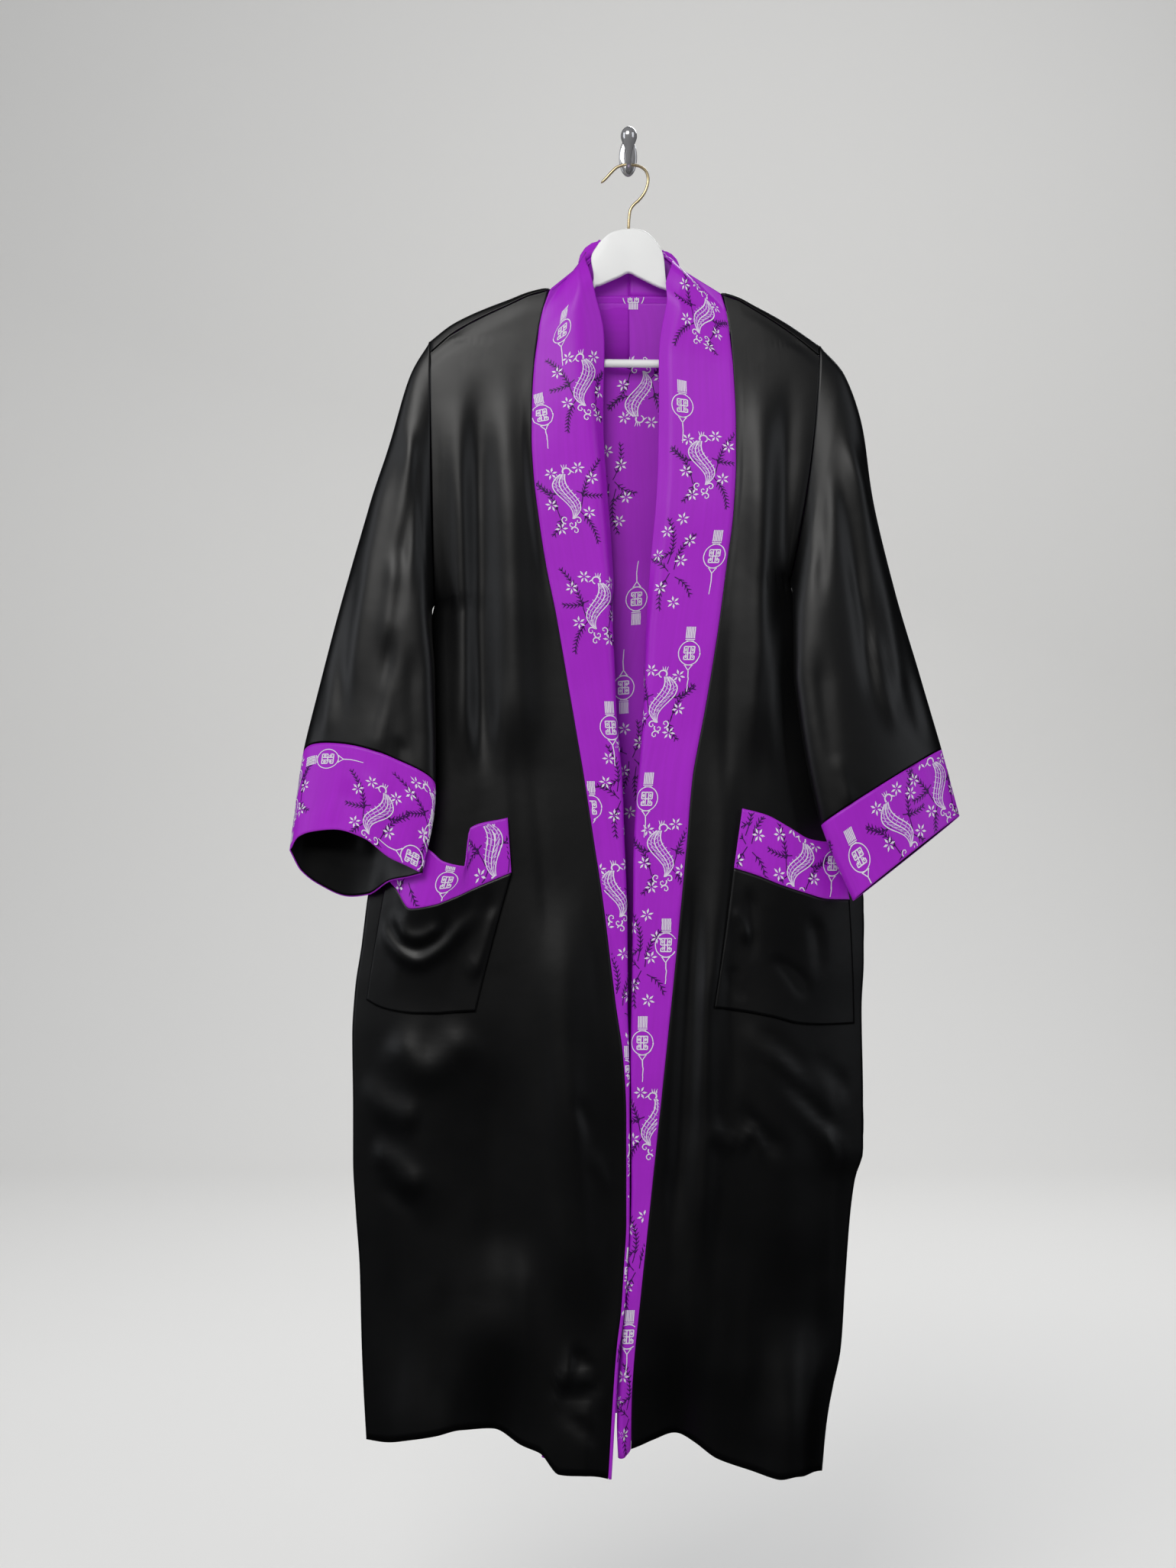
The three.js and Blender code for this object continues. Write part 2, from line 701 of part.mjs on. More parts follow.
function pocketShares(p) {
  return p.pocket.length === 7
    ? [0, 0.06, 0.12, 0.21, 0.3, 0.4, 0.5, 0.6, 0.68, 0.75, 0.87, 1]
    : [0, 0.1, 0.2, 0.3, 0.4, 0.5, 0.6, 0.7, 0.8, 0.9, 1];
}

// Hanger and wall hook.

// Sections of the hanger from its left tip to its right: x and z of the top edge, of the bottom edge.
const HANGER = [
  [-210, -223, -210, -238],
  [-208, -216, -208, -241],
  [-200.5, -208.5, -200.3, -241],
  [-199.5, -208, -199.5, -226.5],
  [-180, -196, -180, -219],
  [-141, -180, -145, -207],
  [-88, -172, -92, -195],
  [-72, -166, -74, -185],
  [-58, -161, -56, -174],
  [-45, -155, -46, -165],
  [-38.3, -141, -37, -151],
  [-41, -118.5, -32, -149],
  [-34, -105, -26, -146.5],
  [-31, -101, -24, -145.5],
  [-23, -93, -18, -143],
  [-12, -88.5, -10, -139.5],
  [0, -87, 0, -135],
  [11, -87.8, 10, -139.5],
  [20, -91, 18, -143.5],
  [29.5, -100, 27, -148],
  [38, -116, 35, -151.5],
  [41, -145, 43, -155],
  [47, -155, 50, -167],
  [57, -157, 60, -177],
  [88, -171, 92, -195],
  [103, -176, 108, -200],
  [150, -187, 152, -212],
  [180, -203, 180, -224],
  [191.5, -212.5, 191.5, -229],
  [192.5, -213, 192.3, -244],
  [199, -219, 199.5, -244],
  [202, -227, 202, -241],
];

// A closed solid through rings of points, each ring turning the same way.
function loft(rings) {
  const pos = rings.flatMap((ring) => ring.flatMap((q) => q.toArray()));
  const index = [];
  const sides = rings[0].length;
  for (let i = 0; i < rings.length - 1; i++)
    for (let k = 0; k < sides; k++) {
      const a = i * sides + k;
      const b = i * sides + ((k + 1) % sides);
      index.push(a, b, b + sides, a, b + sides, a + sides);
    }
  const e = (rings.length - 1) * sides;
  for (let k = 1; k < sides - 1; k++) index.push(0, k + 1, k, e, e + k, e + k + 1);
  const g = new THREE.BufferGeometry();
  g.setAttribute("position", new THREE.Float32BufferAttribute(pos, 3));
  g.setIndex(index);
  g.computeVertexNormals();
  return g;
}

function hangerBody() {
  const half = HANGER_THICK / 2;
  const corner = [[half - 3, 0], [half - 0.9, 0.9], [half, 3]];
  return loft(
    HANGER.map(([xt, zt, xb, zb]) => {
      const top = V(xt, HANGER_Y, zt);
      const down = V(xb, HANGER_Y, zb).sub(top);
      const length = down.length();
      down.normalize();
      const at = (y, w) => top.clone().addScaledVector(down, w).add(V(0, y, 0));
      return [
        ...corner.map(([y, w]) => at(-y, w)),
        ...[...corner].reverse().map(([y, w]) => at(-y, length - w)),
        ...corner.map(([y, w]) => at(y, length - w)),
        ...[...corner].reverse().map(([y, w]) => at(y, w)),
      ];
    }),
  );
}

// A closed round bar along points with a radius at each.
function rod(points, radii, sides) {
  let side = points[1].clone().sub(points[0]).cross(V(0.3, 0.2, -1));
  return loft(
    points.map((q, i) => {
      const a = points[Math.max(0, i - 1)];
      const b = points[Math.min(points.length - 1, i + 1)];
      const path = b.clone().sub(a).normalize();
      side = side.clone().addScaledVector(path, -side.dot(path)).normalize();
      const other = path.clone().cross(side);
      const ring = [];
      for (let k = 0; k < sides; k++) {
        const g = (2 * Math.PI * k) / sides;
        ring.push(
          q
            .clone()
            .addScaledVector(side, radii[i] * Math.cos(g))
            .addScaledVector(other, radii[i] * Math.sin(g)),
        );
      }
      return ring;
    }),
  );
}

const BAR = [[-199, -232.5], [191, -235.5]]; // x and z of its ends
const BAR_RADIUS = 4.4;
const WIRE_RADIUS = 1.6;
// The wire hook: x and z of its middle line.
const WIRE = [
  [0, -86.6],
  [0.5, -76],
  [2, -66],
  [6, -60],
  [11.5, -55],
  [17.5, -47],
  [20.8, -38],
  [21.3, -30],
  [18.3, -22.5],
  [11.5, -18],
  [3, -16.6],
  [-5, -16.6],
  [-13, -19.5],
  [-19, -25],
  [-24, -30.5],
  [-30, -36.5],
];

// The wall hook's prong: y and z of its middle line and its radius.
const PRONG = [
  [-4.3, -12, 3.4],
  [-7, -12, 3.3],
  [-11, -14, 3.1],
  [-15, -17.5, 3],
  [-23, -20.8, 3],
  [-32.4, -21.5, 3],
  [-40, -20.6, 3],
  [-46, -17, 3],
  [-50, -11, 3.2],
  [-52, -4, 4.5],
  [-53, 3, 7.5],
  [-53.5, 8, 8.8],
  [-54, 13, 8],
  [-54.3, 17, 5.2],
  [-54.5, 19, 1.8],
];

function plate() {
  const oval = new THREE.Shape();
  oval.absellipse(0, 0, 10, 21, 0, 2 * Math.PI);
  const g = new THREE.ExtrudeGeometry(oval, {
    depth: 3,
    curveSegments: 14,
    bevelEnabled: true,
    bevelSize: 1,
    bevelOffset: -1,
    bevelThickness: 1,
    bevelSegments: 1,
  });
  g.rotateX(Math.PI / 2);
  // The back bevel is taken off so that the back face is flat on the wall.
  const pos = g.attributes.position;
  for (let i = 0; i < pos.count; i++) pos.setY(i, Math.min(pos.getY(i), 0));
  return g;
}

// The part.

const part = new THREE.Group();
const finish = (name, color, roughness, metalness = 0) =>
  new THREE.MeshStandardMaterial({ name, color, roughness, metalness });
const satin = finish("black_satin", 0x0d0e12, 0.4);
const print = finish("purple_satin", 0x7a2f9e, 0.35);
const paint = finish("white_paint", 0xf2f0ea, 0.4);
const wire = finish("brass_wire", 0xc9a86a, 0.3, 1);
const chrome = finish("chrome", 0xc8c8cc, 0.15, 1);

function add(name, geometry, material) {
  const mesh = new THREE.Mesh(geometry, material);
  mesh.name = name;
  part.add(mesh);
}

const back = backGrid();
add("back", wall(back, 0, CLOTH, { flip: true }), satin);
// The lining lies inside the back and starts just under the neck seam.
const n = normals(back, false, true);
const under = back.map((row, i) =>
  row.map((q, j) => q.clone().addScaledVector(n[i][j], -CLOTH - 3 * GAP)),
);
const inside = under.slice(1).map((row) => row.slice(1, -1));
for (let j = SHOULDER_COLS + 1; j < inside[0].length - SHOULDER_COLS - 1; j++)
  inside[0][j].lerp(under[0][j + 1], 0.5);
add("back_lining", wall(inside, 0, LINING, { flip: true }), print);

const SLEEVE_STATIONS = [0, 0.05, 0.1, 0.17, 0.24, 0.33, 0.42, 0.51, 0.6, 0.7, 0.8, 0.9, 0.998];
const CUFF_STATIONS = [1.003, 1.25, 1.5, 1.75, 2];
const FACING_STATIONS = [1.35, 1.5, 1.75, 1.99];

for (const [name, p] of [["left", LEFT], ["right", RIGHT]]) {
  const flip = p.side < 0;
  add("front_" + name, wall(frontGrid(p), 0, CLOTH, { flip }), satin);
  add("sleeve_" + name, wall(sleeveGrid(p), 0, CLOTH, { wrap: true, flip }), satin);
  const cuff = ringGrid(p, CUFF_STATIONS);
  add("cuff_" + name, wall(cuff, 0, CLOTH, { wrap: true, flip }), print);
  const facing = ringGrid(p, FACING_STATIONS, CLOTH + 5 * GAP);
  add("facing_" + name, wall(facing, 0, LINING, { wrap: true, flip }), satin);
  add("band_" + name, wall(bandGrid(p), 0, BAND, { flip }), print);
  const shares = pocketShares(p);
  const rows = [];
  for (let i = 0; i <= POCKET_BODY_ROWS; i++)
    rows.push(shares.map((a) => pocketPoint(p, a, i === 0 ? 0.004 : i / POCKET_BODY_ROWS)));
  add("pocket_" + name, wall(rows, 0, CLOTH), satin);
  const top = [-1, -0.66, -0.33, 0].map((q) => shares.map((a) => pocketPoint(p, a, q - 1e-9)));
  add("pocket_band_" + name, wall(top, -0.4, CLOTH), print);
}

add("hanger_body", hangerBody(), paint);
const onHanger = (rows) => rows.map(([x, z]) => V(x, HANGER_Y, z));
add("hanger_bar", rod(onHanger(BAR), [BAR_RADIUS, BAR_RADIUS], 12), paint);
add("hanger_wire", rod(onHanger(WIRE), WIRE.map(() => WIRE_RADIUS), 8), wire);
add("wall_plate", plate(), chrome);
add("wall_prong", rod(PRONG.map(([y, z]) => V(0, y, z)), PRONG.map((row) => row[2]), 12), chrome);

export default part;
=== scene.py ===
"""A black satin robe with printed purple bands, on a wooden hanger that hangs from a wall hook.

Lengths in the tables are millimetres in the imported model's frame: x to the viewer's right, y into
the wall, z up, from the middle of the wall plate's back face. The garment faces -y.
"""

import math

import bpy
import numpy as np
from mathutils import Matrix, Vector


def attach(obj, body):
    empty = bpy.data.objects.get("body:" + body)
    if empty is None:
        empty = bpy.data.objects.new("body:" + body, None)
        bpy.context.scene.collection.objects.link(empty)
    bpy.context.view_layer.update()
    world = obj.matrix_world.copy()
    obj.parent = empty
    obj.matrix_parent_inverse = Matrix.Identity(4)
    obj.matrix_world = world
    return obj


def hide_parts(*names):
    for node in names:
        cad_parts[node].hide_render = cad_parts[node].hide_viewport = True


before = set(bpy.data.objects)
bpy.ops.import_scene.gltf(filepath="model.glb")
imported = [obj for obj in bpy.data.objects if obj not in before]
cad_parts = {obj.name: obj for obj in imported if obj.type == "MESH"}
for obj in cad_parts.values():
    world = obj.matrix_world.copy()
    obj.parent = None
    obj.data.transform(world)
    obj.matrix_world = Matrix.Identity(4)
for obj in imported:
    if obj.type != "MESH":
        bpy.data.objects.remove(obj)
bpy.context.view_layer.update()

bl_info = {
    "name": "Satin robe on a hanger",
    "version": (1, 0, 0),
    "blender": (4, 5, 0),
    "location": "3D View > Sidebar > Robe",
    "description": "Builds a printed satin robe with its hanger and wall hook",
    "category": "Object",
}

MM = 0.001
CLOTH = 1.0  # one wall of satin
BAND = 1.4  # the doubled collar band
GAP = 0.3  # between pieces that meet
BAND_WIDTH = 86
SEAM_SHIFT = 1.35  # how far the panels stand off each other at the side seam
HANGER_Y = -32.4
HANGER_THICK = 9
FINE = 6  # rows of the scene's cloth for each row of the model's

# A half of the robe, left or right as the viewer sees it, is a set of tables with these columns.
# seam: height, x and y of the seam between front and band.
# side_seam: height, x and y of the side seam below the underarm.
# rings: station down the sleeve, x, y, z of the inner end, x, y, z of the outer end, stand-off of
# the front and of the back, tilt of that stand-off in degrees, sideways bow.
# hem: share from band seam to side seam, drop below the straight line (less than zero is above it).
# folds: x and z of the upper end, x and z of the lower end, half width, depth (less than zero
# stands forward).
# pocket: share across; x, z and stand-off of the mouth and of the band's seam; x and z at the
# bottom.
# roll: height, flat width, radius and angle of the turned edge, direction across.
LEFT = {
    "side": -1,
    "seam": [
        (-155, -88, -41), (-196, -98, -44), (-235, -103, -47), (-278, -105.5, -50),
        (-317, -106, -53), (-361, -103.5, -55), (-410, -97.5, -57), (-458, -90, -58),
        (-507, -80, -60), (-570, -69, -61), (-634, -58, -63), (-687, -49, -64),
        (-745, -40, -66), (-825, -28, -68), (-934, -14.5, -70), (-988, -7, -71),
        (-1051, -3.5, -72), (-1168, -3.5, -74), (-1212, -6, -76), (-1259, -9, -80),
        (-1300, -14, -84), (-1352, -18, -87), (-1438, -23, -90),
    ],
    "side_seam": [
        (-498, -212, -34), (-540, -222, -34), (-600, -240, -34), (-680, -258, -34),
        (-750, -272, -35), (-816, -285, -35), (-872, -292, -36), (-919, -299, -36),
        (-969, -302, -37), (-1051, -301, -38), (-1104, -301, -38), (-1160, -298, -39),
        (-1223, -293.5, -40), (-1300, -291.5, -41), (-1358, -289, -42), (-1409, -286, -43),
    ],
    "rings": [
        (0, -212, -34, -498, -217, -33, -210, 17, 18, 0, 0),
        (0.1, -213.6, -50, -506, -238, -34, -246, 18, 14, 5, 0),
        (0.24, -213, -58, -531, -260, -35, -319, 22, 12, 10, 0),
        (0.42, -210, -64, -573, -288, -36, -410, 26, 12, 20, 0),
        (0.6, -209, -68, -614, -312, -38, -492, 29, 13, 30, 0),
        (0.8, -208, -73, -660, -336, -40, -585, 31, 16, 40, 0),
        (1, -208, -77, -697, -355, -42, -663, 34, 22, 45, 0),
        (2, -222, -84, -791, -369.5, -46, -767, 40, 50, 55, 0),
    ],
    "hem": [
        (0, 0), (0.08, -3), (0.2, 0), (0.28, -19), (0.36, -22), (0.47, -32), (0.6, -31),
        (0.7, -23), (0.8, -15), (0.93, -3), (1, 0),
    ],
    "folds": [
        (-184, -260, -178, -690, 14, -5),
        (-166, -240, -160, -700, 13, 6),
        (-130, -250, -118, -690, 22, -6),
        (-80, -790, -52, -1300, 38, -7),
        (-146, -930, -140, -1240, 34, 6),
        (-48, -1290, -48, -1500, 34, -9),
        (-140, -1260, -146, -1500, 32, 26),
        (-232, -1280, -232, -1500, 34, -8),
        (-238, -880, -226, -1180, 26, -5),
    ],
    "pocket": [
        (0, -256, -747, 2, -264, -797, 2, -286, -930),
        (0.12, -239, -755, 7, -253, -808, 5, -272, -937),
        (0.3, -215, -766, 15, -236, -829, 13, -254, -941),
        (0.5, -199, -778, 19, -211, -825, 15, -231, -943),
        (0.68, -176, -783, 15, -184, -815, 11, -207, -943),
        (0.75, -171, -742, 6, -165, -806, 6, -196, -942),
        (1, -131, -731, 2, -127, -790, 2, -166, -940),
    ],
    "roll": [
        (-155, 60, 16, -20, 0.66, 0.38, 0.62), (-170, 62, 20, 10, 0.57, 0.3, 0.765),
        (-186, 64, 20, 30, 0.58, 0.1, 0.8), (-200, 64, 20, 20, 0.64, -0.02, 0.76),
        (-216, 50, 40, 30, 0.72, -0.12, 0.68), (-235, 42, 38, 34, 0.89, -0.14, 0.43),
        (-278, 48, 26, 50, 0.96, -0.12, 0.24), (-317, 60, 14, 58, 0.99, -0.04, 0.12),
        (-361, 64, 12, 60, 1, 0.02, 0.03), (-410, 62, 12, 66, 1, 0.02, 0),
        (-458, 60, 10, 74, 1, 0.03, 0), (-507, 52, 10, 84, 1, 0.04, 0),
        (-570, 45, 9, 95, 1, 0.05, 0), (-634, 38, 8, 105, 1, 0.06, 0),
        (-687, 35, 7, 112, 1, 0.07, 0), (-745, 28, 7, 120, 1, 0.08, 0),
        (-825, 20, 6, 135, 1, 0.08, 0), (-896, 13, 5, 150, 1, 0.08, 0),
        (-988, 3, 4, 160, 1, 0.05, 0), (-1051, 1, 2.6, 165, 1, 0, 0),
        (-1330, 1, 2.6, 165, 1, 0, 0), (-1438, 1, 2.6, 165, 1, 0, -0.24),
    ],
}

RIGHT = {
    "side": 1,
    "seam": [
        (-160, 103, -41), (-196, 110, -44), (-244, 114, -48), (-303, 116.5, -52),
        (-342, 116.5, -54), (-400, 113.5, -57), (-458, 106, -58), (-522, 97.5, -60),
        (-570, 90, -61), (-614, 82.5, -62), (-653, 75, -63), (-687, 69, -64),
        (-760, 62.5, -66), (-845, 54.5, -68), (-930, 46, -70), (-1011, 37.5, -71),
        (-1091, 29, -72), (-1177, 20, -73), (-1253, 12, -74), (-1323, 5, -74),
        (-1358, 3, -72), (-1412, 2, -70),
    ],
    "side_seam": [
        (-472, 176.5, -34), (-520, 186, -34), (-580, 200, -34), (-640, 214, -34),
        (-700, 228, -34), (-760, 243, -35), (-823, 257, -35), (-888, 257, -36),
        (-940, 254.5, -37), (-1037, 256, -38), (-1095, 256, -39), (-1125, 247, -40),
        (-1165, 241.5, -41), (-1235, 236, -43), (-1308, 231, -45), (-1360, 220, -47),
        (-1395, 214.5, -48), (-1441, 210, -50),
    ],
    "rings": [
        (0, 176.5, -34, -472, 209, -33, -215, 17, 18, 0, 5),
        (0.1, 178.1, -50, -490, 236, -34, -247, 18, 14, 3, 4),
        (0.24, 178, -58, -520, 256, -35, -307, 22, 12, 6, 2),
        (0.42, 178, -64, -573, 266, -36, -381, 25, 12, 8, 0),
        (0.6, 182, -68, -614, 290, -38, -483, 27, 12, 10, 0),
        (0.8, 191, -73, -673, 317, -40, -575, 28, 13, 12, 0),
        (1, 206, -77, -739, 341, -42, -658, 28, 15, 12, 0),
        (2, 240, -80, -820, 360, -44, -730, 27, 18, 12, 0),
    ],
    "hem": [
        (0, 0), (0.12, -12), (0.24, -19), (0.33, -14), (0.45, -2), (0.6, 4), (0.75, 7),
        (0.86, 1), (1, 0),
    ],
    "folds": [
        (146, -240, 138, -690, 20, -7),
        (176, -230, 160, -560, 12, 5),
        (90, -760, 78, -1230, 13, -5),
        (62, -740, 52, -1200, 11, 5),
        (150, -860, 170, -1240, 32, -5),
        (52, -1270, 52, -1500, 24, 20),
        (175, -1260, 175, -1500, 34, -24),
        (113, -955, 238, -1087, 12, 4),
    ],
    "pocket": [
        (0, 122, -721, 2, 113, -785, 2, 92, -936),
        (0.2, 148, -728, 6, 138, -793, 4, 124, -940),
        (0.4, 172, -741, 9, 163, -803, 6, 156, -946),
        (0.6, 195, -754, 8, 190, -812, 6, 186, -954),
        (0.8, 213, -757, 5, 216, -819, 4, 217, -956),
        (1, 229, -757, 2, 240, -820, 2, 246, -956),
    ],
    "roll": [
        (-160, 60, 16, -20, 0.76, 0.31, 0.55), (-174, 62, 20, 10, 0.67, 0.3, 0.68),
        (-186, 64, 20, 16, 0.7, 0.06, 0.71), (-200, 66, 18, 12, 0.8, 0, 0.6),
        (-216, 66, 16, 18, 0.8, -0.05, 0.59), (-244, 68, 14, 35, 0.96, 0.02, 0.28),
        (-303, 68, 14, 30, 0.99, 0.02, 0.12), (-361, 68, 14, 26, 1, 0.01, 0.02),
        (-410, 68, 14, 26, 1, 0, 0), (-458, 68, 12, 45, 1, 0, 0),
        (-522, 66, 11, 70, 1, 0, 0), (-570, 62, 10, 84, 1, 0, 0),
        (-634, 55, 9, 100, 1, 0.02, 0), (-687, 51, 8, 112, 1, 0.03, 0),
        (-745, 50, 8, 125, 1, 0.03, 0), (-825, 45, 7, 140, 1, 0.03, 0),
        (-896, 40, 6, 150, 1, 0.03, 0), (-988, 33, 5, 150, 1, 0, 0),
        (-1067, 25, 4, 150, 1, 0, 0), (-1170, 15, 4, 150, 1, -0.02, 0),
        (-1253, 12, 4, 155, 1, -0.1, 0), (-1328, 10, 4, 165, 0.94, -0.3, 0),
        (-1378, 12, 4, 175, 0.75, -0.65, 0), (-1412, 14, 4, 178, 0.5, -0.8, -0.36),
    ],
}
SIDES = {"left": LEFT, "right": RIGHT}

# Columns of NECK: x, y, z of the seam, flat width, radius and angle of the roll, direction.
NECK = [
    (-88, -41, -155, 60, 16, -20, 0.66, 0.38, 0.62),
    (-82, -33, -154, 62, 11, -45, 0.7, 0.24, 0.62),
    (-74, -26, -154, 54, 4.2, -164, 0.66, 0.1, 0.72),
    (-59, -21, -155, 48, 3.4, -174, 0.45, 0.05, 0.86),
    (-40, -19, -156.2, 44, 3.2, -176, 0.2, 0.03, 0.98),
    (-20, -18, -156, 44, 3.2, -176, 0.07, 0.02, 1),
    (1, -17.6, -156, 44, 3.2, -176, 0, 0.02, 1),
    (24, -18, -156.2, 44, 3.2, -176, -0.07, 0.02, 1),
    (46, -19, -156.6, 44, 3.2, -176, -0.2, 0.03, 0.98),
    (68, -21, -157, 50, 3.4, -174, -0.52, 0.05, 0.83),
    (86, -26, -158, 58, 4.2, -164, -0.74, 0.1, 0.64),
    (96, -33, -159, 66, 11, -45, -0.76, 0.24, 0.55),
    (103, -41, -160, 60, 16, -20, -0.76, 0.31, 0.55),
]
CENTRE = 6  # the row of NECK at the centre-back seam

# Columns of SHOULDER: x and height of the shoulders' top line.
SHOULDER = [
    (-217, -210), (-200, -196), (-180, -184.5), (-141, -168.5), (-88, -152.5), (0, -156),
    (103, -158), (150, -177.5), (180, -194.5), (209, -215),
]
BACK_HEM = -1388  # height of its middle
BACK_DEPTH = -22  # y of the back's middle under the neck
HEM_DEPTH = -14  # and further down
BACK_FOLDS = [
    (-150, -420, -190, -1420, 34, -6),
    (-70, -520, -80, -1420, 36, 6),
    (20, -420, 10, -1420, 34, -5),
    (110, -480, 100, -1420, 36, 6),
]
# Columns of GAPE: share from the left cuff's inner end, stand-off of its mouth as a share of the
# most.
GAPE = [
    (0, 0), (0.1, 0.16), (0.24, 0.35), (0.42, 0.85), (0.6, 1), (0.8, 0.8), (0.93, 0.5), (1, 0),
]
# Angles round the armhole, in degrees from the underarm over the front.
SEAM_ANGLE = 155
FRONT_ANGLES = [SEAM_ANGLE, 140, 125, 110, 95, 80, 62, 42, 20, 0]
BACK_ANGLES = [SEAM_ANGLE, 168, 180, 192, 210, 230, 250, 270, 290, 310, 335, 360]
ROWS_BELOW = 19  # rows of a panel below the underarm

# Columns of CREASES: x and z of the upper end, x and z of the lower end, half width, depth (less
# than zero is a ridge), how far the middle bows to the right.
CREASES = {
    "front_left": [
        (-196, -330, -188, -640, 9, 1, 2), (-150, -260, -140, -560, 11, 0.7, -3),
        (-118, -210, -128, -420, 12, 0.6, 2), (-176, -520, -170, -760, 9, -1, 3),
        (-140, -560, -128, -800, 9, -1.6, -2), (-108, -640, -84, -900, 8, 1.3, 2),
        (-98, -900, -72, -1200, 10, 1.6, -4), (-66, -960, -44, -1290, 11, -1.8, 3),
        (-186, -1010, -176, -1180, 14, 1.6, 3), (-282, -1086, -214, -1140, 13, -2, -6),
        (-276, -1126, -226, -1170, 10, 1.8, 5), (-70, -1300, -22, -1352, 7, 3, 6),
        (-88, -1342, -28, -1330, 6, -2.4, -6), (-86, -1360, -30, -1402, 6, 2.6, 4),
        (-62, -1290, -84, -1366, 6, -2, 4), (-120, -1180, -112, -1420, 12, -2.4, 4),
        (-196, -1220, -204, -1400, 12, 2, -4), (-258, -1180, -250, -1400, 12, 1.6, 4),
        (-60, -1030, -40, -1080, 7, 1.6, 3), (-46, -1090, -20, -1140, 6, -1.4, 4),
    ],
    "front_right": [
        (130, -250, 126, -500, 12, 0.6, -2), (160, -300, 150, -560, 11, -0.7, 3),
        (110, -500, 100, -760, 8, 1.2, 2), (150, -540, 142, -720, 9, 1.4, -3),
        (82, -880, 74, -1060, 7, -1.6, 2), (100, -870, 116, -1040, 8, 1.5, 3),
        (118, -1036, 178, -1100, 7, 2.8, -5), (126, -1062, 146, -1096, 5, -2.2, 4),
        (112, -1094, 132, -1060, 5, 1.8, -3), (196, -990, 246, -1040, 9, 1.6, 4),
        (206, -1060, 244, -1120, 10, -2, -4), (130, -960, 196, -1010, 9, 1.8, 5),
        (96, -1110, 92, -1330, 10, 1.8, -4), (128, -1180, 120, -1400, 12, -1.8, 4),
        (212, -1160, 200, -1390, 12, 1.8, -5), (40, -1090, 46, -1260, 7, 1.2, 2),
        (60, -1190, 70, -1360, 8, -1.6, 3),
    ],
    "back": [
        (-120, -260, -100, -480, 12, 1.6, 4), (90, -250, 80, -470, 12, 1.4, -4),
        (-178, -470, -120, -620, 13, 2, -8), (150, -450, 96, -600, 13, 2, 8),
        (-200, -640, -210, -1000, 12, 1.6, 4), (-30, -700, -24, -1100, 14, 1.5, -4),
        (60, -640, 64, -1000, 14, -1.6, 4), (180, -700, 190, -1050, 12, 1.5, -4),
        (-110, -900, -120, -1330, 14, -2, 4), (130, -980, 124, -1340, 14, 2, -4),
        (-240, -1100, -236, -1360, 12, 1.8, 2), (210, -1120, 190, -1380, 12, 1.8, -3),
        (-40, -1180, -46, -1380, 12, 2.2, 3), (30, -1160, 40, -1380, 12, -2.2, -3),
    ],
    "sleeve_left": [
        (-236, -296, -250, -440, 9, -3.2, 5), (-250, -440, -262, -560, 10, -3.6, 3),
        (-262, -560, -282, -690, 10, -3.4, 4), (-222, -330, -232, -520, 8, 2, 3),
        (-232, -540, -226, -690, 9, 2, -3), (-290, -440, -312, -640, 10, 2, -5),
        (-318, -560, -334, -660, 9, -1.8, 3), (-246, -640, -250, -700, 7, 1.6, 3),
    ],
    "sleeve_right": [
        (232, -300, 262, -520, 9, -3, 6), (262, -520, 292, -650, 9, -3, -4),
        (206, -330, 204, -520, 8, 2, 3), (204, -540, 222, -700, 9, 2, -3),
        (240, -430, 262, -620, 9, 2, 4), (218, -660, 236, -730, 7, -1.6, 3),
        (296, -560, 318, -660, 9, 1.8, 3),
    ],
    "cuff_left": [
        (-281, -660, -285, -770, 6, -3.4, 0), (-296, -690, -330, -760, 12, 3, 4),
        (-262, -690, -256, -760, 9, 2, 3), (-240, -700, -232, -770, 7, -1.4, -2),
    ],
    "cuff_right": [
        (300, -660, 322, -740, 10, 1.8, 3), (262, -690, 280, -770, 9, -1.6, -3),
        (226, -730, 248, -800, 6, 1.6, 2),
    ],
    "pocket_left": [(-150, -800, -166, -900, 8, 1.4, 4)],
    "pocket_right": [
        (128, -800, 132, -890, 7, 1.6, 3), (106, -826, 128, -870, 6, -1.8, 4),
        (150, -880, 196, -930, 8, 2, 6), (196, -830, 204, -910, 8, 1.8, 4),
        (110, -890, 124, -930, 6, 1.6, -3),
    ],
}

